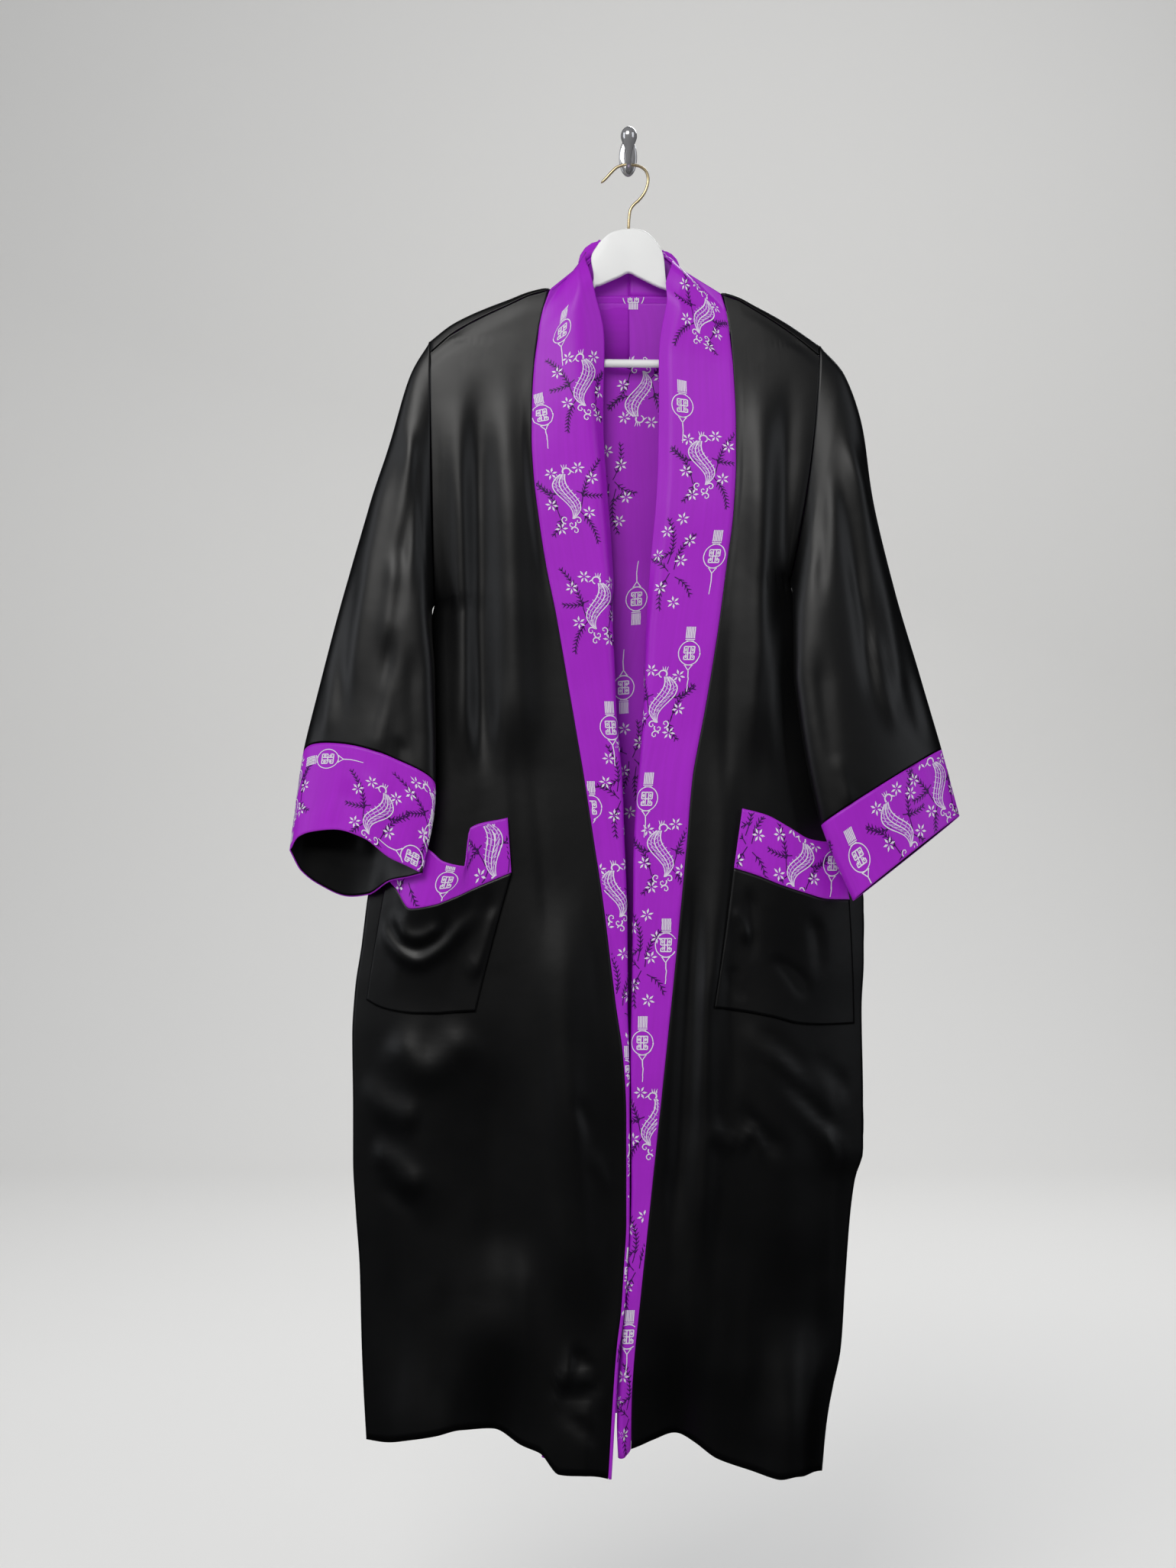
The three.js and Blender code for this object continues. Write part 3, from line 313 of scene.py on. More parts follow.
# Columns of LONG_CREASES: half width, depth, then x and z of each point of a bent line.
LONG_CREASES = {
    "pocket_left": [
        (8, -3, (-258, -829), (-243, -857), (-222, -860), (-197, -845)),
        (9, -3.6, (-268, -834), (-258, -866), (-232, -886), (-207, -875), (-181, -850),
         (-164, -827)),
        (8, 2.2, (-262, -830), (-250, -862), (-226, -872), (-204, -860), (-188, -838)),
        (11, -2.6, (-138, -827), (-161, -886), (-181, -896)),
    ],
    "front_left": [
        (20, -2.4, (-182, -220), (-184, -330), (-180, -470), (-186, -640), (-196, -780)),
        (17, -2, (-134, -230), (-132, -380), (-128, -560), (-118, -680)),
        (15, 1.8, (-160, -240), (-162, -380), (-158, -560), (-164, -700)),
        (22, -3.6, (-66, -800), (-70, -960), (-74, -1120), (-66, -1260)),
        (26, 3, (-146, -980), (-150, -1120), (-146, -1300)),
        (20, -5, (-264, -966), (-216, -1002), (-166, -958)),
        (16, -4.5, (-300, -1018), (-262, -1048), (-222, -1056)),
        (12, -2.8, (-284, -1094), (-252, -1104), (-222, -1136)),
        (8, 3, (-88, -1334), (-60, -1352), (-24, -1336)),
    ],
    "front_right": [
        (19, -2.2, (136, -230), (142, -380), (150, -560), (146, -700)),
        (12, -2.4, (104, -640), (100, -800), (92, -960)),
        (10, 2.8, (72, -780), (70, -960), (64, -1120)),
        (13, -3, (114, -955), (160, -1000), (206, -1060), (238, -1092)),
        (8, -3, (84, -1062), (112, -1082), (134, -1060)),
        (15, -2.4, (212, -980), (224, -1120), (222, -1300)),
    ],
    "sleeve_left": [
        (8, 3, (-222, -288), (-242, -424), (-250, -504), (-270, -618), (-280, -700)),
        (12, -2.8, (-262, -330), (-282, -460), (-306, -620)),
    ],
    "sleeve_right": [
        (9, -3, (236, -307), (265, -433), (281, -520), (296, -640)),
        (10, 2.6, (222, -330), (246, -470), (262, -610)),
    ],
    "cuff_left": [(7, 3.4, (-278, -660), (-283, -710), (-286, -780))],
}

# Columns of HANGER: x and z of the top edge, x and z of the bottom edge.
HANGER = [
    (-210, -223, -210, -238), (-208, -216, -208, -241), (-200.5, -208.5, -200.3, -241),
    (-199.5, -208, -199.5, -226.5), (-180, -196, -180, -219), (-141, -180, -145, -207),
    (-88, -172, -92, -195), (-72, -166, -74, -185), (-58, -161, -56, -174),
    (-45, -155, -46, -165), (-38.3, -141, -37, -151), (-41, -118.5, -32, -149),
    (-34, -105, -26, -146.5), (-31, -101, -24, -145.5), (-23, -93, -18, -143),
    (-12, -88.5, -10, -139.5), (0, -87, 0, -135),
    (11, -87.8, 10, -139.5), (20, -91, 18, -143.5), (29.5, -100, 27, -148), (38, -116, 35, -151.5),
    (41, -145, 43, -155), (47, -155, 50, -167), (57, -157, 60, -177), (88, -171, 92, -195),
    (103, -176, 108, -200), (150, -187, 152, -212), (180, -203, 180, -224),
    (191.5, -212.5, 191.5, -229), (192.5, -213, 192.3, -244), (199, -219, 199.5, -244),
    (202, -227, 202, -241),
]
BAR = [(-199, -232.5), (191, -235.5)]
BAR_RADIUS = 4.4
# Columns of WIRE: x and z of the middle line.
WIRE = [
    (0, -86.6), (0.5, -76), (2, -66), (6, -60), (11.5, -55), (17.5, -47), (20.8, -38),
    (21.3, -30), (18.3, -22.5), (11.5, -18), (3, -16.6), (-5, -16.6), (-13, -19.5),
    (-19, -25), (-24, -30.5), (-30, -36.5),
]
WIRE_RADIUS = 1.6
# Columns of PRONG: y and z of the middle line, radius.
PRONG = [
    (-4.3, -12, 3.4), (-7, -12, 3.3), (-11, -14, 3.1), (-15, -17.5, 3), (-23, -20.8, 3),
    (-32.4, -21.5, 3), (-40, -20.6, 3), (-46, -17, 3), (-50, -11, 3.2), (-52, -4, 4.5),
    (-53, 3, 7.5), (-53.5, 8, 8.8), (-54, 13, 8), (-54.3, 17, 5.2), (-54.5, 19, 1.8),
]
PLATE_WIDE, PLATE_TALL = 10, 21  # half its width and height
# Columns of PLATE_EDGE: y, how far inside the plate's outline.
PLATE_EDGE = [(0, 1.2), (0, 0.3), (-0.6, 0), (-2.4, 0), (-3.4, 0.7), (-4, 2), (-4, 6)]


# Curves through the tables.
def mix(a, b, k):
    """From a to b by a share k."""
    return a + (b - a) * k


def ease(k):
    """From 0 to 1 with soft ends."""
    k = np.clip(k, 0, 1)
    return k * k * (3 - 2 * k)


def along(rows, t):
    """The row of a table at t, by its first column, with no overshoot between the rows."""
    rows = np.asarray(rows, float)
    if rows[0, 0] > rows[-1, 0]:
        rows = rows[::-1]
    t = np.asarray(t, float)
    x = rows[:, 0]
    i = np.clip(np.searchsorted(x, t) - 1, 0, len(x) - 2)
    h = np.diff(x)
    secant = np.diff(rows, axis=0) / h[:, None]
    slope = np.concatenate([secant[:1], np.zeros_like(rows[1:-1]), secant[-1:]])
    a, b = secant[:-1], secant[1:]
    same = a * b > 0
    slope[1:-1][same] = 2 * a[same] * b[same] / (a[same] + b[same])
    k = np.clip((t - x[i]) / h[i], 0, 1)[..., None]
    m0, m1 = slope[i] * h[i][..., None], slope[i + 1] * h[i][..., None]
    d = rows[i + 1] - rows[i]
    return rows[i] + k * (m0 + k * (3 * d - 2 * m0 - m1 + k * (m0 + m1 - 2 * d)))


def finer(values, n):
    """The same run of values with n steps where there was one."""
    values = np.asarray(values, float)
    at = np.linspace(0, len(values) - 1, (len(values) - 1) * n + 1)
    return np.interp(at, np.arange(len(values)), values)


def curved(points, n):
    """A smooth run through points, with n steps where there was one."""
    p = np.asarray(points, float)
    at = np.linspace(0, len(p) - 1, (len(p) - 1) * n + 1)
    i = np.minimum(at.astype(int), len(p) - 2)
    k = (at - i).reshape((-1,) + (1,) * (p.ndim - 1))
    longer = np.concatenate([[2 * p[0] - p[1]], p, [2 * p[-1] - p[-2]]])
    a, b, c, d = (longer[i + j] for j in range(4))
    return 0.5 * (2 * b + k * (c - a) + k * k * (2 * a - 5 * b + 4 * c - d)
                  + k ** 3 * (3 * b - a - 3 * c + d))


def smooth_grid(grid, rows, cols):
    """A grid of points with more rows and columns, smooth both ways."""
    tall = curved(grid, rows)
    return curved(tall.transpose(1, 0, 2), cols).transpose(1, 0, 2)


def normals(grid, flip=False, wrap=False):
    """Unit normals of a grid of points."""
    down = np.gradient(grid, axis=0)
    if wrap:
        over = (np.roll(grid, -1, 1) - np.roll(grid, 1, 1)) / 2
    else:
        over = np.gradient(grid, axis=1)
    n = np.cross(down, over)
    n /= np.maximum(np.linalg.norm(n, axis=2, keepdims=True), 1e-9)
    return -n if flip else n


# Sleeves and armholes.
def bulge(s):
    """A flat arch over a chord, by share s."""
    return (2 * np.sqrt(np.clip(s * (1 - s), 0, 1))) ** 0.8


def stand_off(half, t, s):
    """How far a ring stands off its chord at share s, as a share of the most."""
    if half["side"] > 0:
        return bulge(s)
    return mix(bulge(s), along(GAPE, s)[..., 1], np.clip(t / 2, 0, 1) ** 2)


def ring_point(half, t, degrees):
    """Points of a sleeve's rings."""
    t, degrees = np.broadcast_arrays(np.asarray(t, float), np.asarray(degrees, float))
    _, xi, yi, zi, xo, yo, zo, front, back, tilt, bow = np.moveaxis(along(half["rings"], t), -1, 0)
    s = (1 - np.cos(np.radians(degrees))) / 2
    most = np.where(degrees <= 180, front, -back)
    turn = np.radians(tilt)
    off = np.where(degrees % 180 == 0, 0, most * stand_off(half, t, s))
    return np.stack([
        mix(xi, xo, s) + bow * 4 * s * (1 - s),
        mix(yi, yo, s) - off * np.cos(turn),
        mix(zi, zo, s) + off * np.sin(turn),
    ], axis=-1)


RING_ANGLES = finer([*range(0, 180, 15), *range(180, 361, 15)], 4)[:-1]
CREASE_SPREAD, CREASE_SOFT = 100, 30  # degrees from the middle of the front or the back
BEHIND_SHARE = 0.6  # how deep a crease is on the hidden side


def creased_rings(half, name, stations):
    """Ring points with the creases of the front, and softer ones on the hidden side."""
    grid = ring_point(half, stations[:, None], RING_ANGLES[None, :])
    off = creases_at(name, grid[..., 0], grid[..., 2])
    front = ease((CREASE_SPREAD - np.abs(RING_ANGLES - 90)) / CREASE_SOFT)
    behind = ease((CREASE_SPREAD - np.abs(RING_ANGLES - 270)) / CREASE_SOFT) * BEHIND_SHARE
    start = ease(stations / 0.15)[:, None]
    return grid - normals(grid, half["side"] < 0, True) * (off * (front + behind) * start)[..., None]


# Front panels.
def shoulder_seam(half, a):
    """Points of the shoulder seam, 0 at the neck and 1 at the armhole."""
    neck = NECK[0] if half["side"] < 0 else NECK[-1]
    tip = ring_point(half, 0, SEAM_ANGLE)
    k = np.linspace(0, 1, 7)
    x = mix(neck[0], tip[0], k)
    top = along(SHOULDER, x)[:, 1]
    ends = [neck[2] - along(SHOULDER, neck[0])[1], tip[2] - along(SHOULDER, tip[0])[1]]
    knots = [x, mix(neck[1], tip[1], k), mix(ends[0], ends[1], k) + top]
    return np.stack([np.interp(a, k, c) for c in knots], axis=-1)


def side_edge(half, back, n=1):
    """The side edge of a panel from the shoulder seam to the hem."""
    angles = finer(BACK_ANGLES if back else FRONT_ANGLES, n)
    ring = ring_point(half, 0, angles)
    lay = SEAM_SHIFT if back else -SEAM_SHIFT
    share = (1 - np.cos(np.radians(angles))) / 2
    ring[:, 1] += lay * (1 - share) ** 8 * (angles > 270 if back else angles < 90)
    rows = ROWS_BELOW * n
    z = mix(half["side_seam"][0][0], half["side_seam"][-1][0], np.arange(1, rows + 1) / rows)
    x, y = along(half["side_seam"], z)[:, 1:].T
    return np.concatenate([ring, np.stack([x, y + lay, z], axis=1)])


def seam_edge(half, n=1):
    """The edge of a front panel along its band."""
    side = side_edge(half, False, n)
    k = (side[0, 2] - side[:, 2]) / (side[0, 2] - side[-1, 2])
    z = mix(half["seam"][0][0], half["seam"][-1][0], k)
    x, y = along(half["seam"], z)[:, 1:].T
    return np.stack([x, y, z], axis=1)


# Folds and creases.
FOLD_RISE = 150  # the length over which a fold deepens
FOLD_END = 0.2  # share of its length over which it fades at its lower end
CREASE_ENDS = 0.3, 0.35  # the same for both ends of a crease
LONG_CREASE_END = 0.22
UNEVEN = 0.25  # how much a crease's depth varies, as a share of it


def folds_at(rows, x, z):
    """How far folds push a panel back at x, z."""
    y = np.zeros_like(x)
    for x0, z0, x1, z1, half, depth in rows:
        k = (z - z0) / (z1 - z0)
        off = (x - mix(x0, x1, np.clip(k, 0, 1))) / half
        rise = np.clip(FOLD_RISE / (z0 - z1), 0.25, 0.6)
        y += depth * np.exp(-off * off) * ease(k / rise) * ease((1 - k) / FOLD_END)
    return y


def creases_at(name, x, z):
    """How far the listed creases push a piece back at x, z: soft, uneven, fading at both ends."""
    y = np.zeros_like(x)
    for i, (x0, z0, x1, z1, half, depth, bow) in enumerate(CREASES.get(name, [])):
        dx, dz = x1 - x0, z1 - z0
        long = math.hypot(dx, dz)
        k = ((x - x0) * dx + (z - z0) * dz) / long ** 2
        away = ((x - x0) * -dz + (z - z0) * dx) / long
        away = away - math.copysign(1, -dz) * bow * 4 * np.clip(k, 0, 1) * (1 - np.clip(k, 0, 1))
        uneven = 1 + UNEVEN * np.sin(7 * k + 1.7 * i)
        fade = ease(k / CREASE_ENDS[0]) * ease((1 - k) / CREASE_ENDS[1])
        y += depth * uneven * np.exp(-(away / half) ** 2) * fade
    for half, depth, *points in LONG_CREASES.get(name, []):
        y += depth * long_crease(x, z, points, half)
    return y


def long_crease(x, z, points, half):
    """1 on a bent line through points, fading to 0 beside it and at both ends."""
    line = curved(points, 6)
    step = np.diff(line, axis=0)
    size = np.linalg.norm(step, axis=1)
    at = np.concatenate([[0], np.cumsum(size)])
    best, where = np.full(np.shape(x), 1e9), np.zeros(np.shape(x))
    for (px, pz), (dx, dz), long, start in zip(line[:-1], step, size, at):
        k = np.clip(((x - px) * dx + (z - pz) * dz) / long ** 2, 0, 1)
        away = (x - px - k * dx) ** 2 + (z - pz - k * dz) ** 2
        near = away < best
        best = np.where(near, away, best)
        where = np.where(near, (start + k * long) / at[-1], where)
    fade = ease(where / LONG_CREASE_END) * ease((1 - where) / LONG_CREASE_END)
    return np.exp(-best / half ** 2) * fade


def front_depth(half, x, z):
    """Depth of a front panel at x, z."""
    _, xi, yi = np.moveaxis(along(half["seam"], z), -1, 0)
    under = half["side_seam"][0][0]
    _, ax, ay, az, bx, by, bz, front, _, _, bow = half["rings"][0]
    s = np.clip((z - az) / (bz - az), 0, 1)
    ring_x = mix(ax, bx, s) + bow * 4 * s * (1 - s)
    ring_y = mix(ay, by, s) - front * bulge(s) - SEAM_SHIFT * (1 - s) ** 8
    _, side_x, side_y = np.moveaxis(along(half["side_seam"], z), -1, 0)
    xo = np.where(z > under, ring_x, side_x)
    yo = np.where(z > under, ring_y, side_y - SEAM_SHIFT)
    u = np.clip((x - xi) / (xo - xi), 0, 1)
    edge = ease(u / 0.1) * ease((1 - u) / 0.12)
    name = "front_left" if half["side"] < 0 else "front_right"
    soft = folds_at(half["folds"], x, z) + creases_at(name, x, z)
    return yo + (yi - yo) * (1 - u ** 4) + soft * edge


FRONT_COLS = 84
ARCH_SHARE = 0.3  # of a front's height, over which the shoulder's arch fades out
HEM_SHARE = 0.55  # of its height, from which the hem's waves begin
TUCK_BACK, TUCK_DOWN = 0.15, GAP + CLOTH * 0.85  # of a front's upper edge, at the shoulder seam


def front_grid(half):
    """A front panel from the shoulder seam to the hem, between its band and its side seam."""
    inner = seam_edge(half, FINE)
    outer = side_edge(half, False, FINE)
    v = np.linspace(0, 1, len(inner))[:, None]
    u = np.linspace(0, 1, FRONT_COLS + 1)[None, :]
    seam = shoulder_seam(half, u[0])
    arch = seam[:, 2] - mix(inner[0, 2], outer[0, 2], u[0])
    hem = along(half["hem"], u[0])[:, 1]
    x = mix(inner[:, :1], outer[:, :1], u)
    z = mix(inner[:, 2:], outer[:, 2:], u) + arch * ease(1 - v / ARCH_SHARE)
    z = z - hem * ease((v - HEM_SHARE) / (1 - HEM_SHARE))
    y = front_depth(half, x, z)
    y[:, 0], y[:, -1] = inner[:, 1], outer[:, 1]
    grid = np.stack([x, y, z], axis=-1)
    grid[0] = seam - (0, TUCK_BACK, TUCK_DOWN)
    near = ease(1 - np.arange(1, FINE) / FINE)[:, None, None]
    grid[1:FINE, :, 1:2] = mix(grid[1:FINE, :, 1:2], grid[0, :, 1:2], near)
    return grid


# Back panel.
SHOULDER_COLS = 6
# Columns of OVER: how far back and up from the shoulder seam the first rows lie beside the neck.
OVER = [(0, 0), (3, 2.2), (8.5, 3), (14, 2), (19.5, -2)]
TURNED = len(OVER) - 1  # the last of those rows
NECK_ROW = 3  # height of a row under the back neck
NECK_SETTLE = 1.2  # how far the back falls toward the wall under its neck
SHOULDER_DROP = 8  # from the shoulders' top line to the end of the turned rows
BACK_FINE = 5  # rows and columns of the scene's back for each of the model's
SMOOTH_ROWS = 5  # of the model's, from the neck to the first creases


def back_grid():
    """The back panel from the shoulder seams and the back neck to the hem."""
    left, right = side_edge(LEFT, True), side_edge(RIGHT, True)
    rows = len(left)
    cols = [(1 - j / SHOULDER_COLS, LEFT, None) for j in range(SHOULDER_COLS + 1)]
    cols += [(None, None, row) for row in NECK[1:-1]]
    cols += [(j / SHOULDER_COLS, RIGHT, None) for j in range(SHOULDER_COLS + 1)]
    grid = np.zeros((rows, len(cols), 3))
    for j, (a, half, row) in enumerate(cols):
        if row is None:
            edge = left if half is LEFT else right
            x0 = mix(shoulder_seam(half, 0)[0], edge[0, 0], a)
            mid, top = BACK_DEPTH, along(SHOULDER, x0)[1] - SHOULDER_DROP
        else:
            x0 = row[0]
            mid, top = max(row[1] + NECK_SETTLE, BACK_DEPTH), row[2] - TURNED * NECK_ROW
        w = (x0 - left[0, 0]) / (right[0, 0] - left[0, 0])
        e = abs(2 * w - 1)
        flat = mix(left, right, w)
        short = (BACK_HEM - flat[-1, 2]) * (1 - e ** 4)
        for i in range(rows):
            if i > TURNED:
                k = (i - TURNED) / (rows - 1 - TURNED)
                z = flat[i, 2] + (top - flat[TURNED, 2]) * ease(1 - k * 2.6) + short * k
                deep = mix(mid, HEM_DEPTH, ease(k * 3))
                fold = folds_at(BACK_FOLDS, flat[i, 0], z) * (1 - e ** 3)
                y = flat[i, 1] + (deep - flat[i, 1]) * (1 - e ** mix(6, 4, k)) + fold
                grid[i, j] = (mix(x0, flat[i, 0], ease(k * 3)), y, z)
            elif row is None:
                step = edge[i] - edge[0]
                dy, dz = mix(OVER[i][0], step[1], a), mix(OVER[i][1], step[2], a)
                grid[i, j] = shoulder_seam(half, a) + (0, dy, dz)
            else:
                grid[i, j] = (x0, mix(row[1], mid, ease(i / TURNED)), row[2] - NECK_ROW * i)
    grid[:, 0], grid[:, -1] = left, right
    return grid


def fine_back():
    """The back panel with its creases."""
    grid = smooth_grid(back_grid(), BACK_FINE, BACK_FINE)
    w = np.abs(np.linspace(-1, 1, grid.shape[1]))[None, :]
    drop = np.arange(grid.shape[0])[:, None] / BACK_FINE
    hold = (1 - w ** 4) * ease((drop - SMOOTH_ROWS) / 3)
    grid[..., 1] += creases_at("back", grid[..., 0], grid[..., 2]) * hold
    return grid


# Collar band.
FLATS, ARCS, RESTS = 14, 12, 12  # points across its flat, its turned edge and what lies behind
LEAST_REST = 3  # of the band's width, behind the turned edge
NECK_SHIFT = 1.6  # inwards, where the band passes the shoulder seam
END_GAP = 0.02  # between the centre-back seam and each band's end
SEAM_GAP = 0.1  # more than GAP, from the seam to the band
CORNER_GAP = 1.1  # and more again where the band turns over the shoulder
SEAM_TUCK = 1.8  # how far the band's edge tucks under at the back of the neck
# Columns of RIPPLES: scale of one wave and its phase, which is mirrored on the other side; scale
# and phase of a second wave; place and half width across the band, share.
RIPPLES = [(13, 1, 31, 2, 0, 26, 1), (17, 0, 41, 1.3, 60, 24, 0.8)]


def band_stops(flat, radius, degrees):
    """Lengths across the band, over and out of its turned edge, at one station."""
    a = np.radians(abs(degrees))
    arc = min(radius * a, BAND_WIDTH - flat - LEAST_REST)
    s = np.concatenate([
        np.linspace(0, flat, FLATS, endpoint=False),
        np.linspace(flat, flat + arc, ARCS, endpoint=False),
        np.linspace(flat + arc, BAND_WIDTH, RESTS),
    ])
    g = np.clip(s - flat, 0, arc) / arc * min(a, arc / radius)
    more = np.maximum(0, s - flat - arc)
    over = np.minimum(s, flat) + radius * np.sin(g) + more * np.cos(g)
    out = radius * (1 - np.cos(g)) + more * np.sin(g)
    return s, over, (out if degrees < 0 else -out)


def band_grid(half):
    """The band from the hem up the front and round the neck to the centre-back seam."""
    side = half["side"]
    front = seam_edge(half, FINE)[::-1][:-FINE]
    roll = along(half["roll"], front[:, 2])[:, 1:]
    roll[:, 3] *= -side
    neck = NECK[: CENTRE + 1] if side < 0 else NECK[CENTRE:]
    xs = finer([row[0] for row in neck], FINE)
    if side > 0:
        xs = xs[::-1]
    rows = along(NECK, xs)
    rows[:, 0] -= side * NECK_SHIFT * np.exp(-(np.arange(len(rows)) / FINE) ** 2)
    rows[-1, 0] += side * END_GAP
    gap_rows = mix(
        np.concatenate([front[-1], roll[-1]]), rows[0], np.linspace(0, 1, FINE + 1)[1:-1, None]
    )
    rows = np.concatenate([np.concatenate([front, roll], axis=1), gap_rows, rows])
    at = rows[:, :3]
    path = np.gradient(at, axis=0)
    path /= np.linalg.norm(path, axis=1, keepdims=True)
    u = rows[:, 6:9] / np.linalg.norm(rows[:, 6:9], axis=1, keepdims=True)
    out = np.cross(u, path) * -side
    out /= np.linalg.norm(out, axis=1, keepdims=True)
    lean = np.sqrt(1 - np.sum(u * path, axis=1) ** 2)
    corner = ease((at[:, 2] + 240) / 30) * ease((0.8 - u[:, 2]) / 0.1)
    clear = GAP / lean + SEAM_GAP + CORNER_GAP * corner
    grid, lengths = [], []
    for i, (flat, radius, turn) in enumerate(rows[:, 3:6]):
        s, over, off = band_stops(flat, radius, turn)
        grid.append(at[i] + u[i] * (over + clear[i])[:, None] + out[i] * off[:, None])
        lengths.append(s)
    return np.array(grid), np.array(lengths), out


def fine_band(half):
    """The band with the ripples that its seam draws into it."""
    grid, s, out = band_grid(half)
    down = lengths_down(grid, 0)[:, None]
    z = grid[..., 2]
    ripple = np.zeros_like(s)
    for long, phase, longer, later, place, half_width, share in RIPPLES:
        wave = np.sin(down / long + phase * half["side"]) * np.sin(down / longer + later)
        ripple += share * wave * np.exp(-((s - place) / half_width) ** 2)
    lift = (0.35 + 0.75 * ease((-560 - z) / 300)) * ripple * ease(s / 5) * ease((-250 - z) / 120)
    grid = grid + out[:, None, :] * lift[..., None]
    behind = ease((grid[:, 0, 1] + 34) / 8)[:, None]
    grid[:, 0] -= (grid[:, 1] - grid[:, 0]) / s[0, 1] * SEAM_TUCK * behind
    return grid


# Pockets.
POCKET_EDGE = 0.08  # share of its width that lies smooth along each side
POCKET_BASE = CLOTH + GAP + 0.6  # stand-off of its face from the front's, where it lies flat


def pocket_point(half, a, q):
    """Points of a pocket: a across, q from -1 at the mouth to 0 at the seam and 1 below."""
    a, q = np.broadcast_arrays(a, q)
    _, mx, mz, mo, sx, sz, so, bx, bz = np.moveaxis(along(half["pocket"], a), -1, 0)
    up, down = np.clip(-q, 0, 1), np.clip(q, 0, 1)
    x = mix(mix(sx, bx, down), mx, up) + half["side"] * 4 * down * (1 - down)
    z = mix(mix(sz, bz, down), mz, up)
    off = mix(so * (1 - down) ** 1.6, mo, up)
    name = "pocket_left" if half["side"] < 0 else "pocket_right"
    edge = ease(a / POCKET_EDGE) * ease((1 - a) / POCKET_EDGE) * ease((1 - q) / 0.15)
    soft = np.minimum(creases_at(name, x, z), off * 0.7 + 0.4) * edge
    return np.stack([x, front_depth(half, x, z) - POCKET_BASE - off + soft, z], axis=-1)


# Lengths along a sheet, for its cloth and its print.
def lengths_down(grid, column):
    """Lengths down one column of a grid."""
    step = np.linalg.norm(np.diff(grid[:, column], axis=0), axis=1)
    return np.concatenate([[0], np.cumsum(step)])


def lengths_over(grid, wrap=False):
    """Lengths along each row of a grid."""
    full = np.concatenate([grid, grid[:, :1]], axis=1) if wrap else grid
    step = np.linalg.norm(np.diff(full, axis=1), axis=2)
    return np.concatenate([np.zeros((len(grid), 1)), np.cumsum(step, axis=1)], axis=1)


# Meshes.
def new_piece(name, points, faces, finishes, uv=None, tones=None):
    """One named mesh, in metres."""
    mesh = bpy.data.meshes.new(name)
    mesh.from_pydata((np.asarray(points) * MM).tolist(), [], faces)
    for finish in finishes:
        mesh.materials.append(finish_of(finish))
    if uv is not None:
        layer = mesh.uv_layers.new(name="cloth")
        index = np.zeros(len(mesh.loops), int)
        mesh.loops.foreach_get("vertex_index", index)
        layer.data.foreach_set("uv", (np.asarray(uv)[index] * MM).ravel())
    if tones is not None:
        mesh.polygons.foreach_set("material_index", np.asarray(tones, int))
    mesh.polygons.foreach_set("use_smooth", [True] * len(mesh.polygons))
    mesh.update()
    piece = bpy.data.objects.new(name, mesh)
    bpy.context.scene.collection.objects.link(piece)
    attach(piece, "root")
    return piece


def quads(a, b, c, d):
    """Four-sided faces through four grids of point numbers."""
    return np.stack([a.ravel(), b.ravel(), c.ravel(), d.ravel()], axis=1)


def rim(a, b):
    """Four-sided faces between two runs of point numbers."""
    return quads(a[:-1], a[1:], b[1:], b[:-1])


def shell(name, grid, thick, finish, flip=False, wrap=False):
    """A closed thin wall whose outer face is the grid."""
    rows, cols = grid.shape[:2]
    n = normals(grid, flip, wrap)
    points = np.concatenate([grid.reshape(-1, 3), (grid - n * thick).reshape(-1, 3)])
    index = np.arange(rows * cols).reshape(rows, cols)
    if wrap:
        index = np.concatenate([index, index[:, :1]], axis=1)
    low = index + rows * cols
    outer = quads(index[:-1, :-1], index[1:, :-1], index[1:, 1:], index[:-1, 1:])
    inner = quads(low[:-1, :-1], low[:-1, 1:], low[1:, 1:], low[1:, :-1])
    faces = [outer, inner, rim(index[0], low[0]), rim(low[-1], index[-1])]
    if not wrap:
        faces += [rim(low[:, 0], index[:, 0]), rim(index[:, -1], low[:, -1])]
    faces = np.concatenate(faces)
    if flip:
        faces = faces[:, ::-1]
    over = lengths_over(grid, wrap)[:, :cols]
    down = np.repeat(lengths_down(grid, 0)[:, None], cols, axis=1)
    uv = np.stack([over, -down], axis=-1).reshape(-1, 2)
    return new_piece(name, points, faces.tolist(), [finish], np.concatenate([uv, uv]))


def loft(name, rings, node, finish):
    """A closed solid through rings of points, which stands for a node."""
    rings = np.asarray(rings, float)
    rows, sides = rings.shape[:2]
    index = np.arange(rows * sides).reshape(rows, sides)
    around = np.concatenate([index, index[:, :1]], axis=1)
    walls = quads(around[:-1, :-1], around[:-1, 1:], around[1:, 1:], around[1:, :-1])
    faces = walls.tolist() + [index[0][::-1].tolist(), index[-1].tolist()]
    piece = new_piece(name, rings.reshape(-1, 3), faces, [finish])
    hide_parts(node)


def rod_rings(points, radii, sides):
    """Round rings along a run of points."""
    points = np.asarray(points, float)
    path = np.gradient(points, axis=0)
    path /= np.linalg.norm(path, axis=1, keepdims=True)
    side = np.cross(path[0], (0.3, 0.2, -1))
    g = np.linspace(0, 2 * np.pi, sides, endpoint=False)
    rings = []
    for q, t, r in zip(points, path, radii):
        side = side - t * side.dot(t)
        side /= np.linalg.norm(side)
        other = np.cross(t, side)
        rings.append(q + r * (np.cos(g)[:, None] * side + np.sin(g)[:, None] * other))
    return rings


